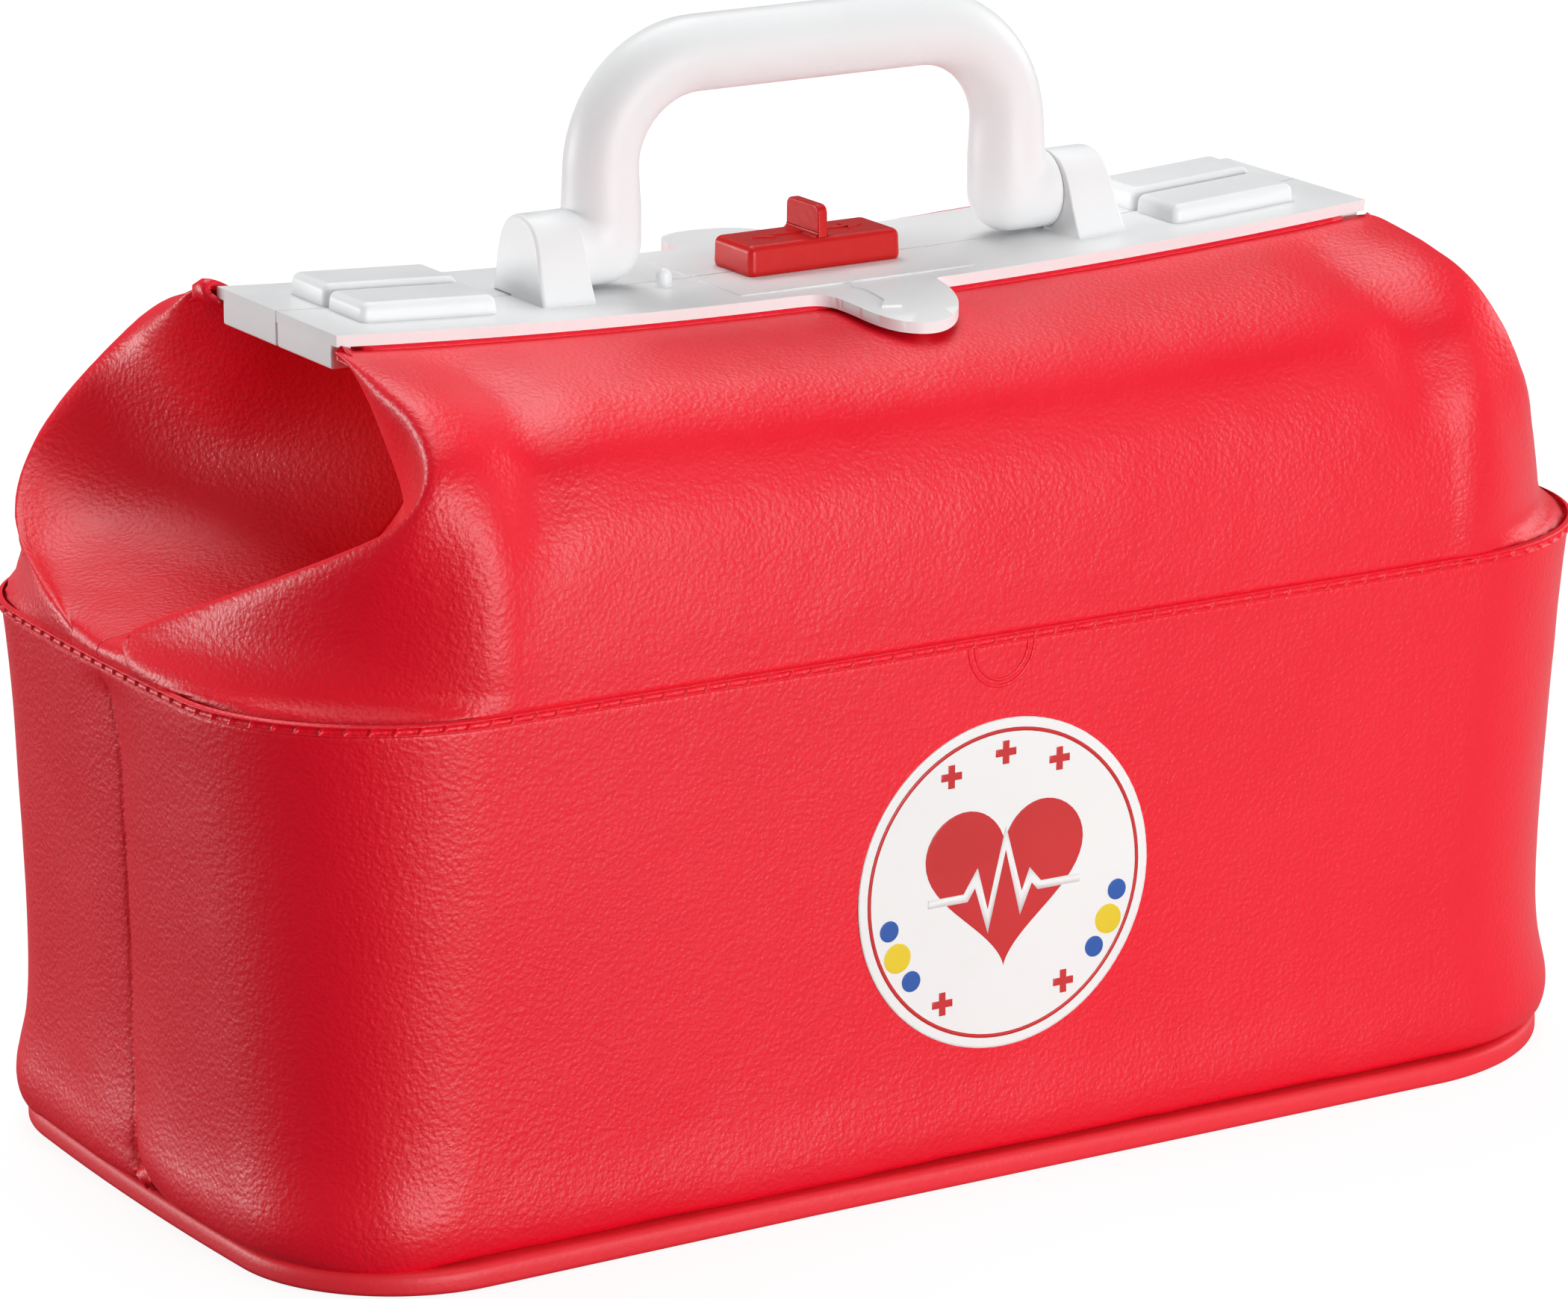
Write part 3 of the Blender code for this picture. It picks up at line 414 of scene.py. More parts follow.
def across(ahead):
    """Unit directions to the left of the given ones."""
    ahead = ahead / np.linalg.norm(ahead, axis=1, keepdims=True)
    return np.stack([-ahead[:, 1], ahead[:, 0]], axis=1)


def grid_normals(grid, closed):
    """Unit normals of a grid of points with shape rows, columns, 3."""
    along = np.gradient(grid, axis=1)
    if closed:
        along = (np.roll(grid, -1, axis=1) - np.roll(grid, 1, axis=1)) / 2
    normal = np.cross(along, np.gradient(grid, axis=0))
    return normal / np.maximum(np.linalg.norm(normal, axis=2, keepdims=True), 1e-9)


def woven(grid, closed=False):
    """Points and faces of a grid of points."""
    rows, count = grid.shape[:2]
    index = np.arange(rows * count).reshape(rows, count)
    if closed:
        index = np.concatenate([index, index[:, :1]], axis=1)
    low, high = index[:-1], index[1:]
    faces = np.stack([low[:, :-1], low[:, 1:], high[:, 1:], high[:, :-1]], axis=-1)
    return grid.reshape(-1, 3), faces.reshape(-1, 4).tolist()


def capped(grid, top=True):
    """Points and faces of a closed grid with a flat foot and, where asked for, a flat top."""
    points, faces = woven(grid, True)
    rows, count = grid.shape[:2]
    faces.append(list(range(count))[::-1])
    if top:
        faces.append(list(range((rows - 1) * count, rows * count)))
    return points, faces


def on_side(part, side):
    """A part made for the right end, mirrored for the left end."""
    points, faces = part
    return points * (side, 1, 1), faces if side > 0 else [face[::-1] for face in faces]


def merged(parts):
    """One set of points and faces from several."""
    points, faces = [], []
    count = 0
    for some, sides in parts:
        points.append(some)
        faces += [[i + count for i in side] for side in sides]
        count += len(some)
    return np.concatenate(points), faces


def scene_object(name, data):
    made = bpy.data.objects.new(name, data)
    bpy.context.scene.collection.objects.link(made)
    return made


def piece(name, part, material, body=None):
    """A smooth shaded object from a part's points, in millimetres, and faces."""
    points, faces = part
    mesh = bpy.data.meshes.new(name)
    mesh.from_pydata((points * MM).tolist(), [], faces)
    mesh.update()
    mesh.shade_smooth()
    mesh.materials.append(material)
    made = scene_object(name, mesh)
    if body:
        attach(made, body)
    return made


def plastic_piece(name, parts, material, body):
    """One piece from several parts, with its flat faces kept flat."""
    made = piece(name, merged(parts), material, body)
    made.modifiers.new("Flat faces", "WEIGHTED_NORMAL").weight = 60
    return made


def solidify(made):
    """Give a skin the vinyl's thickness, inwards."""
    step = made.modifiers.new("Thickness", "SOLIDIFY")
    step.thickness = VINYL * MM
    step.offset = -1.0
    step.use_even_offset = False
    step.use_rim = True


def apply_modifiers(made):
    """Replace a mesh by what its modifiers make of it."""
    graph = bpy.context.evaluated_depsgraph_get()
    mesh = bpy.data.meshes.new_from_object(made.evaluated_get(graph))
    old = made.data
    made.modifiers.clear()
    made.data = mesh
    bpy.data.meshes.remove(old)


def waves(grid, height, length, seed):
    """Smooth noise at each point of a grid, with waves of a height and a length."""
    shift = Vector([seed * part for part in NOISE_SHIFT])
    values = [noise.fractal(Vector(point) / length + shift, 0.9, 2.1, 3) for point in grid.reshape(-1, 3)]
    return height * np.array(values).reshape(grid.shape[:-1])


def near_line(grid, line, width):
    """How close each point lies to a curve: 1 on it, fading over its width and towards its ends."""
    flat = grid.reshape(-1, 3)
    dense = spline(line, np.linspace(0, len(line) - 1, FOLD_SAMPLES))
    gaps = np.stack([((flat - point) ** 2).sum(axis=1) for point in dense])
    share = gaps.argmin(axis=0) / (FOLD_SAMPLES - 1)
    fade = np.clip(np.minimum(share, 1 - share) / FOLD_FADE_SHARE, 0, 1)
    close = np.exp(-gaps.min(axis=0) / width ** 2) * (FOLD_LEAST_SHARE + (1 - FOLD_LEAST_SHARE) * fade)
    return close.reshape(grid.shape[:-1])


# Noise patterns of the materials: scale, detail and roughness; then the grain's cells, and depths in metres
CLOUD = (22.0, 5.0, 0.55)
MOTTLE = (420.0, 3.0, 0.55)
FINE = (2200.0, 2.0, 0.55)
CREASING = (240.0, 6.0, 0.68)
FLOW = (35.0, 3.0, 0.55)
PEEL = (300.0, 2.0, 0.55)
CELL_SCALE = 1200.0
CELL_DEPTH = 0.00022
FINE_DEPTH = 0.00016
PEEL_DEPTH = 0.0004


def shader(name, colour, roughness, specular=0.5):
    made = bpy.data.materials.new(name)
    made.use_nodes = True
    node = made.node_tree.nodes["Principled BSDF"]
    node.inputs["Base Color"].default_value = (*colour, 1.0)
    node.inputs["Roughness"].default_value = roughness
    node.inputs["Specular IOR Level"].default_value = specular
    return made, node


def add(tree, kind, inputs=None, **settings):
    """A shader node with its settings, and with values or links on its inputs."""
    node = tree.nodes.new(kind)
    for key, value in settings.items():
        setattr(node, key, value)
    for key, value in (inputs or {}).items():
        if isinstance(value, bpy.types.NodeSocket):
            tree.links.new(value, node.inputs[key])
        else:
            node.inputs[key].default_value = value
    return node


def place(tree):
    return add(tree, "ShaderNodeTexCoord").outputs["Object"]


def speckle(tree, scale, detail, rough):
    facts = {"Vector": place(tree), "Scale": scale, "Detail": detail, "Roughness": rough}
    return add(tree, "ShaderNodeTexNoise", facts).outputs["Fac"]


def ramp(tree, value, low, high, start, end):
    facts = {"Value": value, "From Min": low, "From Max": high, "To Min": start, "To Max": end}
    return add(tree, "ShaderNodeMapRange", facts).outputs[0]


def bump(tree, height, strength, distance, **below):
    facts = {"Height": height, "Strength": strength, "Distance": distance, **below}
    return add(tree, "ShaderNodeBump", facts).outputs[0]


def finish_material(made, node, share, deep, colour, gloss, normal):
    """Link a shade between two colours, the gloss and the bumps to the surface."""
    tree = made.node_tree
    shades = {"Factor": share, 6: (*deep, 1.0), 7: (*colour, 1.0)}
    tint = add(tree, "ShaderNodeMix", shades, data_type="RGBA")
    tree.links.new(tint.outputs[2], node.inputs["Base Color"])
    tree.links.new(gloss, node.inputs["Roughness"])
    tree.links.new(normal, node.inputs["Normal"])
    return made


def vinyl_material(name, colour, deep, grain, rough):
    """Satin moulded vinyl: leather grain, fine orange peel, cloudy colour and gloss."""
    made, node = shader(name, colour, rough)
    tree = made.node_tree
    cloud = speckle(tree, *CLOUD)
    mix = add(tree, "ShaderNodeMath", {0: cloud, 1: speckle(tree, *MOTTLE)}, operation="ADD").outputs[0]
    facts = {"Vector": place(tree), "Scale": CELL_SCALE}
    cells = add(tree, "ShaderNodeTexVoronoi", facts, feature="SMOOTH_F1")
    leather = bump(tree, cells.outputs["Distance"], grain, CELL_DEPTH)
    peel = bump(tree, speckle(tree, *FINE), grain, FINE_DEPTH, Normal=leather)
    normal = bump(tree, speckle(tree, *CREASING), 0.07, PEEL_DEPTH, Normal=peel)
    gloss = ramp(tree, cloud, 0.3, 0.7, rough - 0.05, rough + 0.05)
    return finish_material(made, node, ramp(tree, mix, 0.7, 1.3, 0.0, 1.0), deep, colour, gloss, normal)


def plastic_material(name, colour, deep, rough, peel=0.12, specular=0.5):
    """Injection-moulded plastic: faint flow marks, soft orange peel and handled gloss."""
    made, node = shader(name, colour, rough, specular)
    tree = made.node_tree
    cloud = speckle(tree, *FLOW)
    gloss = ramp(tree, cloud, 0.3, 0.7, rough - 0.04, rough + 0.06)
    normal = bump(tree, speckle(tree, *PEEL), peel, PEEL_DEPTH)
    return finish_material(made, node, ramp(tree, cloud, 0.35, 0.65, 0.0, 1.0), deep, colour, gloss, normal)


VINYL_RED = vinyl_material("moulded_vinyl", (0.86, 0.0008, 0.019), (0.82, 0.0007, 0.017), 0.50, 0.42)
# The sole's base is lighter and pinker than the walls: partly its own tone, partly a painted sheen
SOLE_RED_AND_PAINTED_SHEEN = vinyl_material("sole_vinyl", (0.88, 0.024, 0.040), (0.84, 0.020, 0.036), 0.20, 0.50)
WHITE = plastic_material("white_moulding", (0.84, 0.848, 0.855), (0.815, 0.823, 0.83), 0.38, specular=0.35)
RED = plastic_material("red_moulding", (0.60, 0.010, 0.010), (0.56, 0.009, 0.008), 0.30, 0.22, specular=0.3)
BOARD = vinyl_material("pressed_board", (0.40, 0.38, 0.35), (0.33, 0.31, 0.28), 0.6, 0.75)
FILM = plastic_material("label_film", (0.88, 0.875, 0.865), (0.86, 0.855, 0.845), 0.36, 0.05)
PRINT_RED = plastic_material("label_red", (0.62, 0.020, 0.022), (0.56, 0.018, 0.020), 0.38, 0.05)
PRINT_YELLOW = plastic_material("label_yellow", (0.85, 0.62, 0.02), (0.80, 0.58, 0.02), 0.38, 0.05)
PRINT_BLUE = plastic_material("label_blue", (0.02, 0.10, 0.42), (0.02, 0.09, 0.38), 0.38, 0.05)


def plan_columns(step):
    """Columns round the bag: shares of the straight parts and of the corner radius, in x and y."""
    quarter = math.pi / 2
    runs = int(2 * (PANEL_HALF + 1) / step)
    turns = int(quarter * PLAN_RADIUS / step)
    walls = int(2 * (SEAM_DEPTH - PLAN_RADIUS) / step * END_DENSITY)
    angles = [quarter * i / turns for i in range(turns)]
    columns = [(2 * i / runs - 1, 0, -1, -1) for i in range(runs)]
    columns += [(1, math.sin(a), -1, -math.cos(a)) for a in angles]
    places = [2 * i / walls - 1 for i in range(walls)]
    columns += [(1, 1, math.copysign(abs(t) ** END_GATHER, t), 0) for t in places]
    columns += [(1, math.cos(a), 1, math.sin(a)) for a in angles]
    half = np.array(columns, float)
    return np.concatenate([half, -half])


def corner_radii(columns, z):
    """Corner radius that goes with each column at a height."""
    sides = np.where(columns[:, [0, 2]] >= 0, 1, -1).tolist()
    foot, top = [np.array([radii[x, y] for x, y in sides]) for radii in (CORNER_FOOT, CORNER_TOP)]
    return foot + (top - foot) * rise(z, PAD_TOP, SEAM_Z)


def ring(columns, half_length, half_depth, z):
    """Outline of the bag at a height."""
    radius = corner_radii(columns, z)
    x = columns[:, 0] * (half_length - END_BULGE - radius) + columns[:, 1] * radius
    y = columns[:, 2] * (half_depth - radius) + columns[:, 3] * radius
    x = x + np.sign(x) * END_BULGE * (1 - (y / half_depth) ** 2)
    return np.stack([x, y, np.full(len(x), z)], axis=1)


def tub_shares():
    """Height and shares of each ring of the tub, close together at its tucked foot."""
    rows = np.array(TUB_ROWS)
    foot = even_places(rows * ROW_LENGTHS, FOOT_STEP)[:FOOT_RINGS]
    wall = even_places(rows * ROW_LENGTHS, STEP)
    return spline(rows, np.concatenate([foot, wall[wall > foot[-1] + 0.2]]))


def sag_walls(grid):
    """Push of the tub's walls: end creases, full corners and slight waves."""
    x, y, z = grid[..., 0], grid[..., 1], grid[..., 2]
    heights = np.array(END_CREASE)[::-1]
    crease = np.interp(z, heights[:, 0], heights[:, 1])
    push = np.zeros(x.shape)
    for side in (-1, 1):
        end = rise(side * x, *CREASE_X)
        gap = y + crease * side
        sunk = CREASE[0] * spike(gap, CREASE[1]) + HOLLOW[0] * hump(gap, HOLLOW[1])
        push -= end * rise(z, *CREASE_Z) * sunk
        push -= end * PINCH[0] * spike(gap, PINCH[1]) * hump(z - PINCH_Z, PINCH_Z)
    bulge, at, reach = CORNER_BULGE
    push += bulge * 2 * np.abs(columns[:, 1] * columns[:, 3]) * hump(z - at, reach)
    push += waves(grid, *TUB_WAVE) * (0.5 + rise(z, *WAVES_Z)) + waves(grid, *TUB_RIPPLE)
    return push * rise(z, *PUSH_Z)


def sag_foot(grid):
    """Droop of the wall's lower edge over the sole."""
    x, y, z = grid[..., 0], grid[..., 1], grid[..., 2]
    droop = waves(grid, *FOOT_WAVE)
    at, drop, reach = END_SAG
    for side in (-1, 1):
        droop += (side * x > SAG_X) * drop * spike(y - at * side, reach)
    for at_x, at_y, drop, reach in FOOT_DIPS:
        droop += drop * np.exp(-np.hypot(x - at_x, y - at_y) / reach)
    return droop * rise(z, *HANG_Z) * rise(z, *SAG_Z)


columns = plan_columns(STEP)
tub_grid = np.stack([ring(columns, HALF_LENGTH * a, SEAM_DEPTH * b, z) for z, a, b in tub_shares()])
droop = sag_foot(tub_grid)
tub_grid = tub_grid + grid_normals(tub_grid, True) * sag_walls(tub_grid)[..., None]
tub_grid[..., 2] -= droop
# Depth of the front wall at each height above its foot, for what lies on it
front_column = int(np.argmin(np.abs(tub_grid[-1, :, 0]) + (tub_grid[-1, :, 1] > 0) * HALF_LENGTH))
wall = tub_grid[WALL_FIRST_RING:, front_column]
wall_depths, wall_heights = -wall[:, 1], wall[:, 2]


def build_tub():
    made = piece("tub_skin", capped(tub_grid, top=False), VINYL_RED, "root")
    solidify(made)
    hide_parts("bag_tub")


def build_sole():
    """Sole sheet a little proud of the walls, with a rolled lower edge."""
    levels = [*arc((SOLE_EDGE, SOLE_EDGE), SOLE_EDGE, -math.pi / 2, -math.pi, 7), *SOLE_LEVELS]
    half_length, half_depth = PAD_HALF_LENGTH + SOLE_OUT_X, PAD_HALF_DEPTH + SOLE_OUT_Y
    grid = np.stack([ring(columns, half_length - inset, half_depth - inset, z) for inset, z in levels])
    front = np.clip(-grid[..., 1] / half_depth, 0, 1)
    grid[..., 1] -= SOLE_BOW * rise(-grid[..., 0], *SOLE_BOW_X) * front
    made = piece("sole_skin", capped(grid), SOLE_RED_AND_PAINTED_SHEEN, "root")
    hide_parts("base_pad")


def rim_z(x):
    return plate_top(x) - PLATE_THICKNESS - RIM_GAP


def panel_key(row, x):
    depth, height = PANEL_ROWS[row]
    share = (height - SEAM_Z) / (rim_z(PANEL_HALF) - SEAM_Z)
    return np.array((x, depth, SEAM_Z + (rim_z(x) - SEAM_Z) * share))


def bezier(start, control, end, shares):
    share = np.array(shares)[:, None]
    return start * (1 - share) ** 2 + 2 * control * share * (1 - share) + end * share ** 2


def seam_keys(start, radius, ways):
    """A key row that follows the seam round its corner and along the end."""
    straight = HALF_LENGTH - END_BULGE
    outer = [(straight - radius + radius * math.sin(a), SEAM_DEPTH - radius + radius * math.cos(a))
             for a in SEAM_TURNS]
    outer += [(straight, depth) for depth in SEAM_STEPS]
    outer = np.array([(x + END_BULGE * (1 - (d / SEAM_DEPTH) ** 2), d, start[2]) for x, d in outer])
    inner = outer[-1] + (np.array((HALF_LENGTH, 0.0, start[2])) - outer[-1]) * ways[:, :1]
    return np.concatenate([[start], outer, inner])


def end_keys(row, radius, edges, swells):
    """One key row of a front end, from the panel's edge over the fold to the valley."""
    start = panel_key(row, PANEL_HALF)
    ways = np.array(INNER_WAYS)
    if row < SEAM_ROWS:
        return seam_keys(start, radius, ways)
    row -= SEAM_ROWS
    edge = np.array(edges[row])
    valley = np.array((VALLEY_ROWS[row][0], 0.0, VALLEY_ROWS[row][1]))
    reach = max(edge[0], LEAST_REACH) + (swells[row] if row < len(swells) else 0.0)
    outer = bezier(start, np.array((reach, start[1], (start[2] + edge[2]) / 2)), edge, OUTER_SHARES)
    inner = edge + (valley - edge) * ways[:, [0, 0, 1]]
    bend = bezier(outer[-1], 2 * edge - (outer[-1] + inner[0]) / 2, inner[0], BEND_SHARES)
    return np.concatenate([[start], outer, bend, inner])


def upper_keys(ends):
    """Key grid of an upper skin seen as the front one, from its left valley to its right valley."""
    rows = []
    for row in range(len(PANEL_ROWS)):
        left, right = [end_keys(row, *end) for end in ends]
        middle = [panel_key(row, x) for x in PANEL_KEYS]
        middle = [key * (-1, 1, 1) for key in middle[:0:-1]] + middle
        rows.append(np.concatenate([left[::-1] * (-1, 1, 1), middle, right]))
    return np.stack(rows) * (1, -1, 1)


def wrinkle(grid, seed):
    """Soft folds and slight waves that the moulded vinyl shows."""
    push = np.zeros(grid.shape[:-1])
    for line, width, depth in FOLDS:
        for side in (1, -1):
            push += depth * near_line(grid, np.array(line) * (side, -1, 1), width)
    for height, length, number in SKIN_WAVES:
        push += waves(grid, height, length, seed + number)
    push *= rise(grid[..., 2] - SEAM_Z, 0, FOLD_RISE)
    beyond = rise(np.abs(grid[..., 0]) - PANEL_HALF, *FOLD_BEYOND)
    push *= np.maximum(rise(-grid[..., 1] - PLATE_HALF_WIDTH, *FOLD_OUT), beyond)
    return grid + grid_normals(grid, False) * push[..., None]


def smoothed(grid, keep):
    grid = grid.copy()
    for _ in range(EASE_ROUNDS):
        middle = (grid[:, :-2] + grid[:, 2:]) / 2
        grid[:, 1:-1] += (middle - grid[:, 1:-1]) * keep[:, 1:-1, None]
    return grid


def eased(grid):
    """Round the folds at the ends without shrinking them, with the seam and the rim kept."""
    keep = rise(grid[..., 2] - SEAM_Z, *EASE_RISE) * rise(np.abs(grid[..., 0]), *EASE_X) * EASE_STRENGTH
    return smoothed(2 * grid - smoothed(grid, keep), keep)


# Corner radius, fold edge and swell of the left and right ends, seen from outside each half
FRONT_ENDS = (
    (CORNER_TOP[-1, -1], EDGE_ROWS, FRONT_SWELL), (CORNER_TOP[1, -1], RIGHT_EDGE, RIGHT_SWELL),
)
REAR_ENDS = (
    (CORNER_TOP[1, 1], RIGHT_EDGE, RIGHT_SWELL), (CORNER_TOP[-1, 1], REAR_LEFT_EDGE, REAR_LEFT_SWELL),
)


def build_upper(name, side, seed):
    """Skin of one half, from the seam over the end folds up to the plate."""
    keys = upper_keys(FRONT_ENDS if side < 0 else REAR_ENDS)
    across_keys = spline_weights(keys.shape[1], even_places(keys[5], STEP))
    up_keys = spline_weights(keys.shape[0], even_places(keys[:, keys.shape[1] // 2], STEP))
    grid = np.einsum("ri,ijk,cj->rck", up_keys, keys, across_keys)
    grid = wrinkle(eased(grid), seed)
    grid[..., 1] = np.minimum(grid[..., 1], -0.05)
    grid = grid * (-side, -side, 1)
    made = piece(name, woven(grid), VINYL_RED)
    solidify(made)
    apply_modifiers(made)
    made.data.shade_smooth()
    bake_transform(made)
    panel = "front_panel" if side < 0 else "rear_panel"
    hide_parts(panel, "left_gusset", "right_gusset")


def build_rim(name, side, body):
    """Vinyl that lies under the plate, down to its cut edge."""
    stations = np.linspace(-PANEL_HALF, PANEL_HALF, 60)
    grid = np.array([[(x, -depth, rim_z(x)) for x in stations] for depth in RIM_DEPTHS]) * (-side, -side, 1)
    made = piece(name, woven(grid), VINYL_RED)
    solidify(made)
    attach(made, body)


def at_length(line, lengths, at):
    """Places in x and y at lengths along a closed outline."""
    return np.stack([np.interp(at % lengths[-1], lengths, line[:, axis]) for axis in (0, 1)])


def build_band():
    """Embossed stitched band along the seam: small slanted cells with raised rims."""
    outline = ring(plan_columns(BAND_STEP), HALF_LENGTH, SEAM_DEPTH, SEAM_Z)
    line = np.concatenate([outline, outline[:1]])
    lengths = lengths_along(line)
    cells = int(round(lengths[-1] / BAND_PITCH))
    pitch = lengths[-1] / cells
    places = np.array([(i * pitch + at, high) for i in range(cells) for at, high in BAND_MARKS])
    rows = []
    for level, rim_high in [*((-level, high) for level, high in BAND_HALF), (0.0, 0.0), *BAND_HALF[::-1]]:
        at = (places[:, 0] + BAND_SKEW * level) % lengths[-1]
        x, y = at_length(line, lengths, at)
        ahead, behind = [at_length(line, lengths, at + reach) for reach in (BAND_STEP / 2, -BAND_STEP / 2)]
        left_x, left_y = across((ahead - behind).T).T
        high = np.maximum(rim_high, places[:, 1]) if abs(level) < BAND_INNER else rim_high
        high = high * BAND_PROUD + BAND_BASE
        rows.append(np.stack([x - left_x * high, y - left_y * high, np.full(len(x), SEAM_Z + level)], axis=1))
    piece("seam_band", woven(np.array(rows), True), VINYL_RED, "root")


def slab(outline, thickness, bevel, cuts=(), segments=3):
    """A flat outline thickened downwards from z 0, cut across x and y, with rounded rims."""
    work = bmesh.new()
    work.faces.new([work.verts.new((x, y, 0.0)) for x, y in outline])
    for way, distances in zip((Vector((1, 0, 0)), Vector((0, 1, 0))), cuts):
        for distance in distances:
            bmesh.ops.bisect_plane(work, geom=work.verts[:] + work.edges[:] + work.faces[:],
                                   plane_co=way * distance, plane_no=way, dist=1e-4)
    made = bmesh.ops.extrude_face_region(work, geom=work.faces[:])
    moved = [item for item in made["geom"] if isinstance(item, bmesh.types.BMVert)]
    bmesh.ops.translate(work, vec=(0, 0, -thickness), verts=moved)
    bmesh.ops.recalc_face_normals(work, faces=work.faces[:])
    soften(work, work.edges, bevel, segments)
    return arrays(work)


def soften(work, edges, offset, segments):
    """Round those of the edges that are sharp."""
    sharp = [edge for edge in edges if edge.calc_face_angle(0.0) > SHARP_ANGLE]
    bmesh.ops.bevel(work, geom=sharp, offset=offset, segments=segments, profile=0.5, affect="EDGES",
                    clamp_overlap=True)


def arrays(work):
    work.verts.index_update()
    points = np.array([vert.co for vert in work.verts])
    faces = [[vert.index for vert in face.verts] for face in work.faces]
    work.free()
    return points, faces


def block(low, high, bevel, segments):
    """A box with rounded edges."""
    work = bmesh.new()
    bmesh.ops.create_cube(work, size=1.0)
    low, high = np.array(low, float), np.array(high, float)
    bmesh.ops.scale(work, vec=high - low, verts=work.verts)
    bmesh.ops.translate(work, vec=(low + high) / 2, verts=work.verts)
    bmesh.ops.bevel(work, geom=work.edges[:], offset=bevel, segments=segments, profile=0.5, affect="EDGES")
    return arrays(work)


def bowed(part, extra=0.0):
    """Lay a flat part on the plate's bow; what reaches past the plate's edge droops like the tab."""
    points, faces = part
    out = np.clip(np.abs(points[:, 1]) - PLATE_HALF_WIDTH, 0, None) / TAB_REACH
    points[:, 2] += plate_top(points[:, 0]) - TAB_DROOP * out ** 1.4 + extra
    return points, faces


def plate_flange():
    """Flat of a plate with its thumb tab."""
    shares = np.array(TAB_SHARES)
    tab = np.stack([-TAB_LEFT + shares[:, 0] * (TAB_LEFT + TAB_RIGHT),
                    -PLATE_HALF_WIDTH - shares[:, 1] * TAB_REACH], axis=1)
    outline = [(-PLATE_HALF, -PLATE_HALF_WIDTH)] + resample(tab, 0.9).tolist()
    outline += [(PLATE_HALF, -PLATE_HALF_WIDTH), (PLATE_HALF, -SPLIT), (-PLATE_HALF, -SPLIT)]
    cuts = (np.arange(-100.0, 101.0, PLATE_CUT_STEP),
            -np.arange(PLATE_HALF_WIDTH, PLATE_HALF_WIDTH + 16.0, PLATE_CUT_STEP))
    return bowed(slab(outline, PLATE_THICKNESS, FLANGE_EDGE, cuts))


def end_block(side):
    """Block that closes a plate's end, over the fold."""
    low = (PLATE_HALF - BLOCK_LENGTH, -BLOCK_HALF_WIDTH, -BLOCK_DEPTH)
    high = (PLATE_HALF - BLOCK_INSET, -SPLIT, -BLOCK_TOP)
    points, faces = on_side(block(low, high, FLANGE_EDGE, 2), side)
    return points + (0, 0, PLATE_END_Z), faces


def end_pad(side, height):
    """Raised pad at one end of a plate, with soft rims."""
    low, high = (END_PAD_INNER, -END_PAD_DEPTH, -ROOT), (END_PAD_OUTER, -END_PAD_GAP, height)
    points, faces = block(low, high, END_PAD_EDGE, 5)
    lift = rise(points[:, 2], -ROOT, height)
    centre_x, centre_y = (END_PAD_INNER + END_PAD_OUTER) / 2, -(END_PAD_DEPTH + END_PAD_GAP) / 2
    points[:, 0] += (centre_x - points[:, 0]) * PAD_TAPER_SHARES[0] * lift
    points[:, 1] += (centre_y - points[:, 1]) * PAD_TAPER_SHARES[1] * lift * (points[:, 1] < centre_y)
    points[:, 2] += plate_top(points[:, 0])
    return on_side((points, faces), side)


def lug(side):
    """Handle lug: a rounded, tapered arch on the front plate that reaches over the split."""
    arch = resample(LUG_OUTLINE, 1.0).tolist()
    outline = [(arch[0][0], -ROOT)] + arch + [(-SPLIT, arch[-1][1]), (-SPLIT, -ROOT)]
    outline = outline[::-1]
    top = max(z for _, z in outline)
    work = bmesh.new()
    inner = [work.verts.new((LUG_INNER, y, z)) for y, z in outline]
    outer = [work.verts.new((LUG_INNER + LUG_WIDTH - LUG_TAPER * max(0.0, z / top) ** 0.8, y, z))
             for y, z in outline]
    work.faces.new(inner)
    work.faces.new(outer[::-1])
    for i in range(len(outline)):
        j = (i + 1) % len(outline)
        work.faces.new((inner[i], outer[i], outer[j], inner[j]))
    bmesh.ops.recalc_face_normals(work, faces=work.faces[:])
    for face, offset, segments in ((outer, LUG_ROUND, 7), (inner, LUG_EDGE, 2)):
        rim = [edge for edge in work.edges if all(vert in face for vert in edge.verts)]
        soften(work, rim, offset, segments)
    points, faces = on_side(arrays(work), side)
    return points + (0, 0, plate_top(LUG_INNER)), faces


def plate_parts(pad_height):
    """Flange, end blocks and end pads of one half of the frame."""
    return [plate_flange(), end_block(-1), end_block(1), end_pad(-1, pad_height), end_pad(1, pad_height)]


def track(depth):
    outline = [(x * TRACK_HALF, -y) for x, y in ((-1, depth), (1, depth), (1, TRACK_GAP), (-1, TRACK_GAP))]
    return bowed(slab(outline, TRACK_THICKNESS, TRACK_EDGE, segments=2), TRACK_PROUD)


def build_plates():
    mark = slab(TAB_MARK, ROOT, TAB_MARK_EDGE, ((), TAB_MARK_CUTS), 2)
    front = plate_parts(FRONT_PAD_HEIGHT) + [lug(-1), lug(1), track(FRONT_TRACK), bowed(mark, TAB_MARK_PROUD)]
    made = plastic_piece("front_plate", front, WHITE, "front_half")
    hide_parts("front_frame")
    rear = plate_parts(REAR_PAD_HEIGHT) + [track(REAR_TRACK)]
    rear = [(points * (-1, -1, 1), faces) for points, faces in rear]
    made = plastic_piece("rear_plate", rear, WHITE, "rear_half")
    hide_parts("rear_frame")


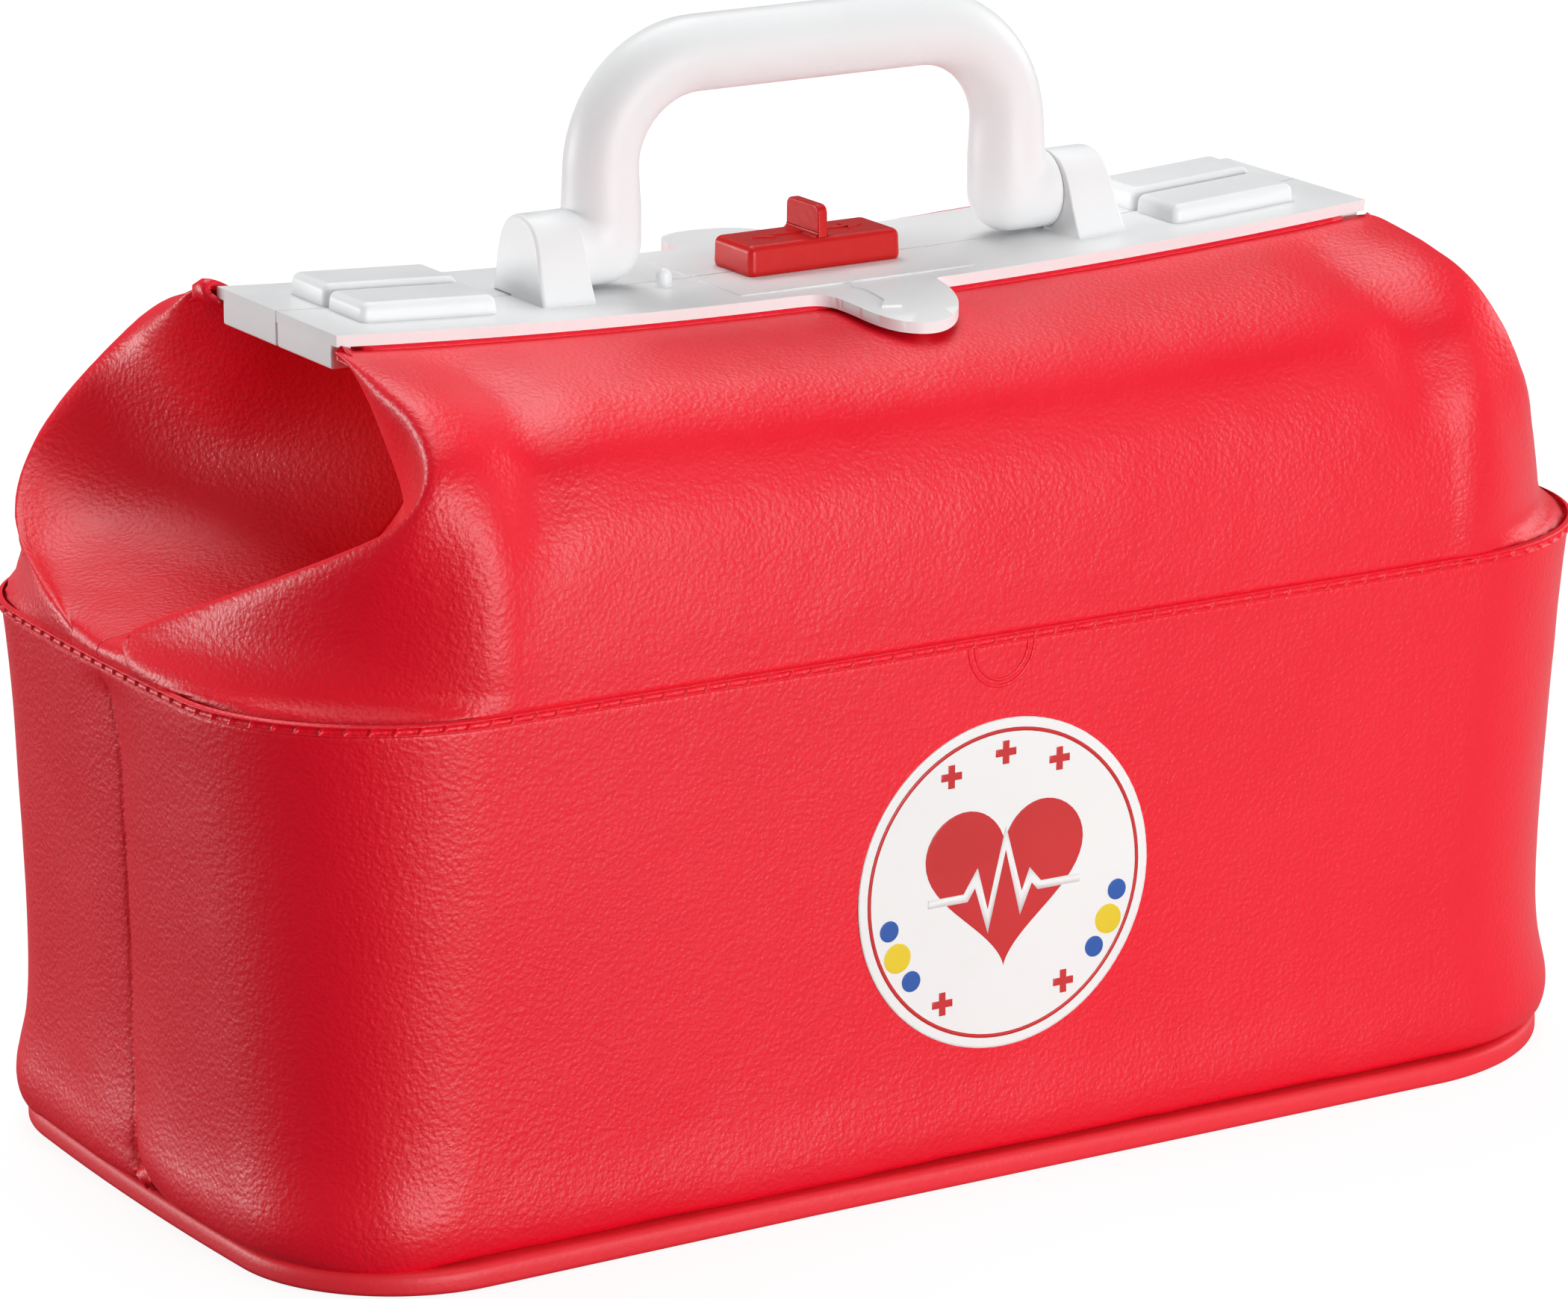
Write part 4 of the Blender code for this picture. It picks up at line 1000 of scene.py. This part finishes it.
def tube(centres, radii, swell):
    """Closed tube along points in the plane y 0, swelled on the outside of its elbows."""
    ahead = np.gradient(centres, axis=0)
    ahead /= np.linalg.norm(ahead, axis=1, keepdims=True)
    out = np.cross(ahead, (0.0, 1.0, 0.0))
    turns = np.arange(TUBE_SIDES) * math.tau / TUBE_SIDES
    inward = radii[:, None] * (1 - (1 - np.sin(turns)) * swell[:, None])
    grid = centres[:, None] + inward[..., None] * out[:, None]
    grid[..., 1] += radii[:, None] * np.cos(turns)
    return capped(grid)


def elbow_swell(angle):
    """How much farther out than a round bend the boxy elbow reaches at an angle of its turn."""
    reach = 2 * TRUNNION_RADIUS
    corner = reach - HANDLE_ELBOW
    less, more = sorted((math.cos(angle), math.sin(angle)))
    if less / more < corner / reach:
        return 1 / more
    along = corner * (less + more)
    return (along + math.sqrt(max(0.0, along ** 2 - 2 * corner ** 2 + HANDLE_ELBOW ** 2))) / reach


def build_handle():
    """Bent tube: out of the lugs, round tight elbows, up the legs and over the grip."""
    low, elbow = PIVOT_Z - TRUNNION_DROP, TRUNNION_RADIUS
    corner_x, corner_z = HANDLE_LEG_X - HANDLE_CORNER, HANDLE_AXIS_Z - HANDLE_CORNER
    half = [(LUG_INNER - PIVOT_GAP, low), (HANDLE_LEG_X + elbow + PIVOT_GAP, low)]
    half += arc((HANDLE_LEG_X + elbow, low + elbow), elbow, -math.pi / 2, -math.pi, BEND_STEPS).tolist()
    half += [(HANDLE_LEG_X, z) for z in np.linspace(low + elbow, corner_z, LEG_STEPS)[1:-1]]
    half += arc((corner_x, corner_z), HANDLE_CORNER, 0.0, math.pi / 2, BEND_STEPS - 1).tolist()
    half += [(x, HANDLE_AXIS_Z) for x in GRIP_PLACES]
    swell = np.ones(len(half))
    swell[2:2 + BEND_STEPS] = [elbow_swell(angle) for angle in np.linspace(0, math.pi / 2, BEND_STEPS)]
    half = np.insert(np.array(half), 1, 0.0, axis=1)
    centres = np.concatenate([half * (-1, 1, 1), [(0.0, 0.0, HANDLE_AXIS_Z)], half[::-1]])
    share = rise(centres[:, 2], PIVOT_Z + SWELL_RISE, HANDLE_AXIS_Z)
    radii = HANDLE_LEG_RADIUS + (HANDLE_GRIP_RADIUS - HANDLE_LEG_RADIUS) * share ** 1.5
    flare = rise(centres[:, 2], FLARE_TOP, low + elbow) ** 2
    radii += (TRUNNION_RADIUS - HANDLE_LEG_RADIUS) * flare
    part = tube(centres, radii, np.concatenate([swell, [1.0], swell[::-1]]))
    made = piece("carry_loop", part, WHITE, "carry_handle")
    made.data.set_sharp_from_angle(angle=math.radians(50))
    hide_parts("handle")


def build_peg():
    dome = arc((0.0, PEG_HEIGHT - PEG_RADIUS), PEG_RADIUS, 0, 1.45, 9).tolist()
    profile = [(PEG_RADIUS + out, z) for out, z in PEG_FOOT] + dome
    grid = np.array([[(r * x, r * y, z) for x, y in disc_points(1.0, PEG_SIDES)] for r, z in profile])
    part = capped(grid + (-PEG_X, -PEG_Y, plate_top(PEG_X)))
    made = piece("domed_peg", part, WHITE, "front_half")
    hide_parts("stop_peg")


def arrow(side):
    """Raised outward arrow on the slider's top."""
    points, faces = slab(ARROW, ARROW_THICKNESS, ARROW_EDGE, segments=2)
    return points * (side, side, 1) + (0, 0, SLIDER_TOP + ARROW_PROUD), faces


def fin():
    """Upright rounded fin on the slider."""
    outline = [(-FIN_HALF - FIN_SPREAD, -ROOT), (FIN_HALF + FIN_SPREAD, -ROOT)]
    for side, start in ((1, 0.0), (-1, math.pi / 2)):
        centre = (side * (FIN_HALF - FIN_CORNER), FIN_HEIGHT - FIN_CORNER)
        outline += arc(centre, FIN_CORNER, start, start + math.pi / 2, 7).tolist()
    points, faces = slab(outline, FIN_THICKNESS, FIN_EDGE)
    return points[:, [2, 0, 1]] + (FIN_THICKNESS / 2, 0, SLIDER_TOP), faces


def fin_fillet(side):
    """Concave fillet where the fin meets the slider."""
    section = arc((FIN_THICKNESS / 2 + FILLET, FILLET - FILLET_SINK), FILLET, -math.pi / 2, -math.pi, 7)
    section = np.concatenate([section, [(FIN_THICKNESS / 2 - FILLET_ROOT, -FILLET_ROOT)]])
    points = np.array([(x, y, SLIDER_TOP + z) for x, z in section for y in (-FILLET_HALF, FILLET_HALF)])
    count = len(section)
    faces = [[2 * i, 2 * i + 1, 2 * j + 1, 2 * j] for i, j in zip(range(count), [*range(1, count), 0])]
    faces.append(list(range(0, 2 * count, 2)))
    faces.append(list(range(1, 2 * count, 2))[::-1])
    return on_side((points, faces), side)


def stem(half_length, near, far, foot):
    top = SLIDER_TOP - SLIDER_HEIGHT + STEM_ROOT
    return block((-half_length, near, foot), (half_length, far, top), STEM_EDGE, 2)


def build_latch():
    low = (-SLIDER_HALF_LENGTH, -SLIDER_HALF_WIDTH, SLIDER_TOP - SLIDER_HEIGHT)
    points, faces = block(low, (SLIDER_HALF_LENGTH, SLIDER_HALF_WIDTH, SLIDER_TOP), SLIDER_EDGE, 5)
    lift = rise(points[:, 2], low[2], SLIDER_TOP)
    points[:, :2] *= 1 - np.array(SLIDER_TAPER_SHARES) * lift[:, None]
    parts = [(points, faces), fin(), arrow(1), arrow(-1), fin_fillet(1), fin_fillet(-1)]
    parts += [stem(*LEG), stem(*TOOTH)]
    made = plastic_piece("slide_latch", parts, RED, "latch")
    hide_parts("latch_slider")


def disc_points(radius, steps=96):
    return arc((0.0, 0.0), radius, 0.0, math.tau, steps + 1)[:-1]


def heart(size):
    a = np.arange(80) * math.tau / 80
    y = 13 * np.cos(a) - 5 * np.cos(2 * a) - 2 * np.cos(3 * a) - np.cos(4 * a)
    return np.stack([16 * np.sin(a) ** 3, y + 2.0], axis=1)[::-1] * size / 17


def plus(size):
    """Outline of an upright plus sign."""
    half = size * 0.32
    x, y = np.array([(half, -size), (half, -half), (size, -half)]).T
    return np.concatenate([np.stack(pair, axis=1) for pair in ((x, y), (-y, x), (-x, -y), (y, -x))])


def on_wall(flat, lift, across_by=0.0, up_by=LABEL_Z):
    """Lay points given as right and up on the front wall, a little proud of the vinyl."""
    z = up_by + flat[:, 1]
    depth = np.interp(z, wall_heights, wall_depths)
    return np.stack([flat[:, 0] + across_by, -(depth + lift), z], axis=1)


def flat_part(outline, lift):
    """Thin printed area from a closed outline, laid on the wall with a soft rim."""
    centre = outline.mean(axis=0)
    count = len(outline)
    top = lift + FILM_CROWN
    rings = [(1.0, lift - FILM_DEPTH), (1.0, lift)] + [(share, top) for share in FILM_SHARES]
    grid = np.stack([on_wall(centre + (outline - centre) * share, high) for share, high in rings])
    points, faces = woven(grid, True)
    last = len(points)
    faces += [[last - count + i, last - count + (i + 1) % count, last] for i in range(count)]
    return np.concatenate([points, on_wall(centre[None], top)]), faces


def ribbon(low, high, lift, closed=False):
    """Thin printed band between two lines."""
    rows = [(low, lift - PRINT_DEPTH), (low, lift), (high, lift), (high, lift - PRINT_DEPTH)]
    return woven(np.stack([on_wall(line, height) for line, height in rows]), closed)


def stroke(line, width):
    """Both edges of a line of even width with mitred corners."""
    line = np.array(line)
    side = across(np.diff(line, axis=0))
    normals = np.concatenate([side[:1], side[:-1] + side[1:], side[-1:]])
    normals /= np.linalg.norm(normals, axis=1, keepdims=True)
    scale = np.ones(len(line))
    scale[1:-1] = 1 / np.maximum(0.35, (normals[1:-1] * side[1:]).sum(axis=1))
    offset = normals * scale[:, None] * width / 2
    return line - offset, line + offset


def ringed(outline, radius, degrees):
    """Copies of a small printed area at places round the label."""
    places = [(radius * math.cos(a), radius * math.sin(a)) for a in np.radians(degrees)]
    return [flat_part(outline + at, PRINT_LIFT) for at in places]


def label_piece(name, parts, material):
    return piece(name, merged(parts), material, "root")


def build_label():
    """Round label: white film with a red ring, a heart, a pulse line, plus signs and coloured dots."""
    film = label_piece("label_disc", [flat_part(disc_points(LABEL_RADIUS), FILM_LIFT)], FILM)
    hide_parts("round_label")
    edges = [disc_points(radius) for radius in RING_RADII]
    reds = [ribbon(*edges, PRINT_LIFT, True), flat_part(heart(HEART_SIZE), PRINT_LIFT)]
    label_piece("label_heart", reds + ringed(plus(PLUS_SIZE), PLUS_RING, PLUS_PLACES), PRINT_RED)
    label_piece("label_pulse", [ribbon(*stroke(PULSE, PULSE_WIDTH), PULSE_LIFT)], FILM)
    yellow, blue = disc_points(YELLOW_DOT, 40), disc_points(BLUE_DOT, 32)
    label_piece("label_yellow_dots", ringed(yellow, DOT_RING, YELLOW_PLACES), PRINT_YELLOW)
    label_piece("label_blue_dots", ringed(blue, DOT_RING, BLUE_PLACES), PRINT_BLUE)


def build_tongue_mark():
    """Double raised line in a half round under the seam band."""
    parts = []
    for half_width, deep in TONGUE_LINES:
        line = arc((0.0, 0.0), 1.0, -math.pi, 0.0, 33) * (half_width, deep) + (0.0, SEAM_Z - TONGUE_DROP)
        side = across(np.gradient(line, axis=0))
        rows = [on_wall(line + side * off, high, TONGUE_X, 0.0) for off, high in TONGUE_SECTION]
        parts.append(woven(np.array(rows)))
    piece("tongue_mark", merged(parts), VINYL_RED, "root")


build_tub()
build_sole()
build_plates()
build_handle()
build_peg()
build_latch()
build_label()
build_tongue_mark()
build_upper("front_skin", -1, 5)
build_upper("rear_skin", 1, 8)
build_rim("front_rim", -1, "front_half")
build_rim("rear_rim", 1, "rear_half")
build_band()
for name, node in frame["nodes"].items():
    node.data.materials.clear()
    node.data.materials.append(BOARD if name == "floor_board" else WHITE)


# Soft lamps: name, azimuth from +X and height in degrees, width and depth in metres, and power
LAMP_DISTANCE = 1.4
LAMP_TARGET = Vector((0.0, 0.0, 0.08))
LAMPS = (
    ("main", -88, 8, 0.8, 0.5, 14.6), ("main_high", -60, 28, 0.8, 0.5, 1.0),
    ("right", 0, 20, 0.8, 0.5, 4.8), ("left_back", 140, 8, 0.8, 0.4, 12.0),
    ("top", 0, 89, 0.9, 0.9, 5.4), ("top_back", 75, 62, 0.9, 0.6, 8.2),
)
LIGHT = (1, 1, 1, 1)
WORLD_LEVEL = 0.15
BACKDROP_LEVEL = 0.99


def area_light(name, azimuth, height, width, depth, power):
    around, up = math.radians(azimuth), math.radians(height)
    lamp = bpy.data.lights.new(name, "AREA")
    lamp.energy = power
    lamp.shape = "RECTANGLE"
    lamp.size = width
    lamp.size_y = depth
    made = scene_object(name, lamp)
    way = Vector((math.cos(around) * math.cos(up), math.sin(around) * math.cos(up), math.sin(up)))
    made.location = way * LAMP_DISTANCE
    made.rotation_euler = (LAMP_TARGET - made.location).to_track_quat("-Z", "Y").to_euler()


def build_world():
    """Dim light all round, with a pale backdrop for the camera alone."""
    world = bpy.data.worlds.new("studio")
    bpy.context.scene.world = world
    world.use_nodes = True
    tree = world.node_tree
    tree.nodes.clear()
    seen = add(tree, "ShaderNodeLightPath").outputs["Is Camera Ray"]
    dim, pale = [add(tree, "ShaderNodeBackground", {"Color": LIGHT, "Strength": level}).outputs[0]
                 for level in (WORLD_LEVEL, BACKDROP_LEVEL)]
    mix = add(tree, "ShaderNodeMixShader", {0: seen, 1: dim, 2: pale})
    add(tree, "ShaderNodeOutputWorld", {"Surface": mix.outputs[0]})


# Floor: painted shade on its colour for reflected and bounced light, darker towards -x so that the vinyl
# reflects a dark side
# of the room there: the way it falls off, where and between which shades; then the glow that the camera sees,
# by the distance from the middle
FLOOR_PAINTED_SHADE_WAY = (-1.0, 0.0, 0.0)
FLOOR_PAINTED_SHADE_FALL = (0.0, 0.17, 0.58, 0.05)
FLOOR_GLOW = (0.4, 1.6, 0.9, 0.99)
FLOOR_SHADE = 0.16
FLOOR_HALF = 3.0
FLOOR_DROP = 0.0002


def build_floor():
    made, node = shader("floor", (0.3, 0.3, 0.3), 0.9)
    tree = made.node_tree
    at = add(tree, "ShaderNodeNewGeometry").outputs["Position"]
    # Painted shade: for reflected and bounced light the floor's colour darkens towards -x, standing in for a
    # dark side of the room
    painted_shade_side = add(tree, "ShaderNodeVectorMath", {0: at, 1: FLOOR_PAINTED_SHADE_WAY}, operation="DOT_PRODUCT")
    tree.links.new(ramp(tree, painted_shade_side.outputs["Value"], *FLOOR_PAINTED_SHADE_FALL), node.inputs["Base Color"])
    distance = add(tree, "ShaderNodeVectorMath", {0: at}, operation="LENGTH").outputs["Value"]
    level = ramp(tree, distance, *FLOOR_GLOW)
    glow = add(tree, "ShaderNodeEmission", {"Color": LIGHT, "Strength": level})
    matt = add(tree, "ShaderNodeBsdfDiffuse", {"Color": (FLOOR_SHADE, FLOOR_SHADE, FLOOR_SHADE, 1)})
    both = add(tree, "ShaderNodeAddShader", {0: glow.outputs[0], 1: matt.outputs[0]}).outputs[0]
    seen = add(tree, "ShaderNodeLightPath").outputs["Is Camera Ray"]
    mix = add(tree, "ShaderNodeMixShader", {0: seen, 1: node.outputs[0], 2: both})
    tree.links.new(mix.outputs[0], tree.nodes["Material Output"].inputs["Surface"])
    mesh = bpy.data.meshes.new("floor")
    corners = [(x * FLOOR_HALF, y * FLOOR_HALF, 0) for x, y in ((-1, -1), (1, -1), (1, 1), (-1, 1))]
    mesh.from_pydata(corners, [], [(0, 1, 2, 3)])
    mesh.materials.append(made)
    floor = scene_object("floor", mesh)
    floor.location.z = -FLOOR_DROP


# Camera at the photograph's view
TURN = math.radians(31.284)
RISE = math.radians(15.622)
AIM = Vector((0.0, 0.0, 0.0959))
DISTANCE = 1.2559
SIDE_STEP = 0.00404
UP_STEP = 0.01558
FOCAL_LENGTH = 161.05
SENSOR_WIDTH = 36.0


def build_camera():
    lens = bpy.data.cameras.new("camera")
    lens.lens = FOCAL_LENGTH
    lens.sensor_width = SENSOR_WIDTH
    camera = scene_object("camera", lens)
    camera.rotation_euler = (math.pi / 2 - RISE, 0.0, -TURN)
    camera.location = AIM + camera.rotation_euler.to_matrix() @ Vector((-SIDE_STEP, -UP_STEP, DISTANCE))
    bpy.context.scene.camera = camera


build_world()
build_floor()
build_camera()
for lamp_facts in LAMPS:
    area_light(*lamp_facts)
bpy.context.scene.view_settings.view_transform = "Standard"
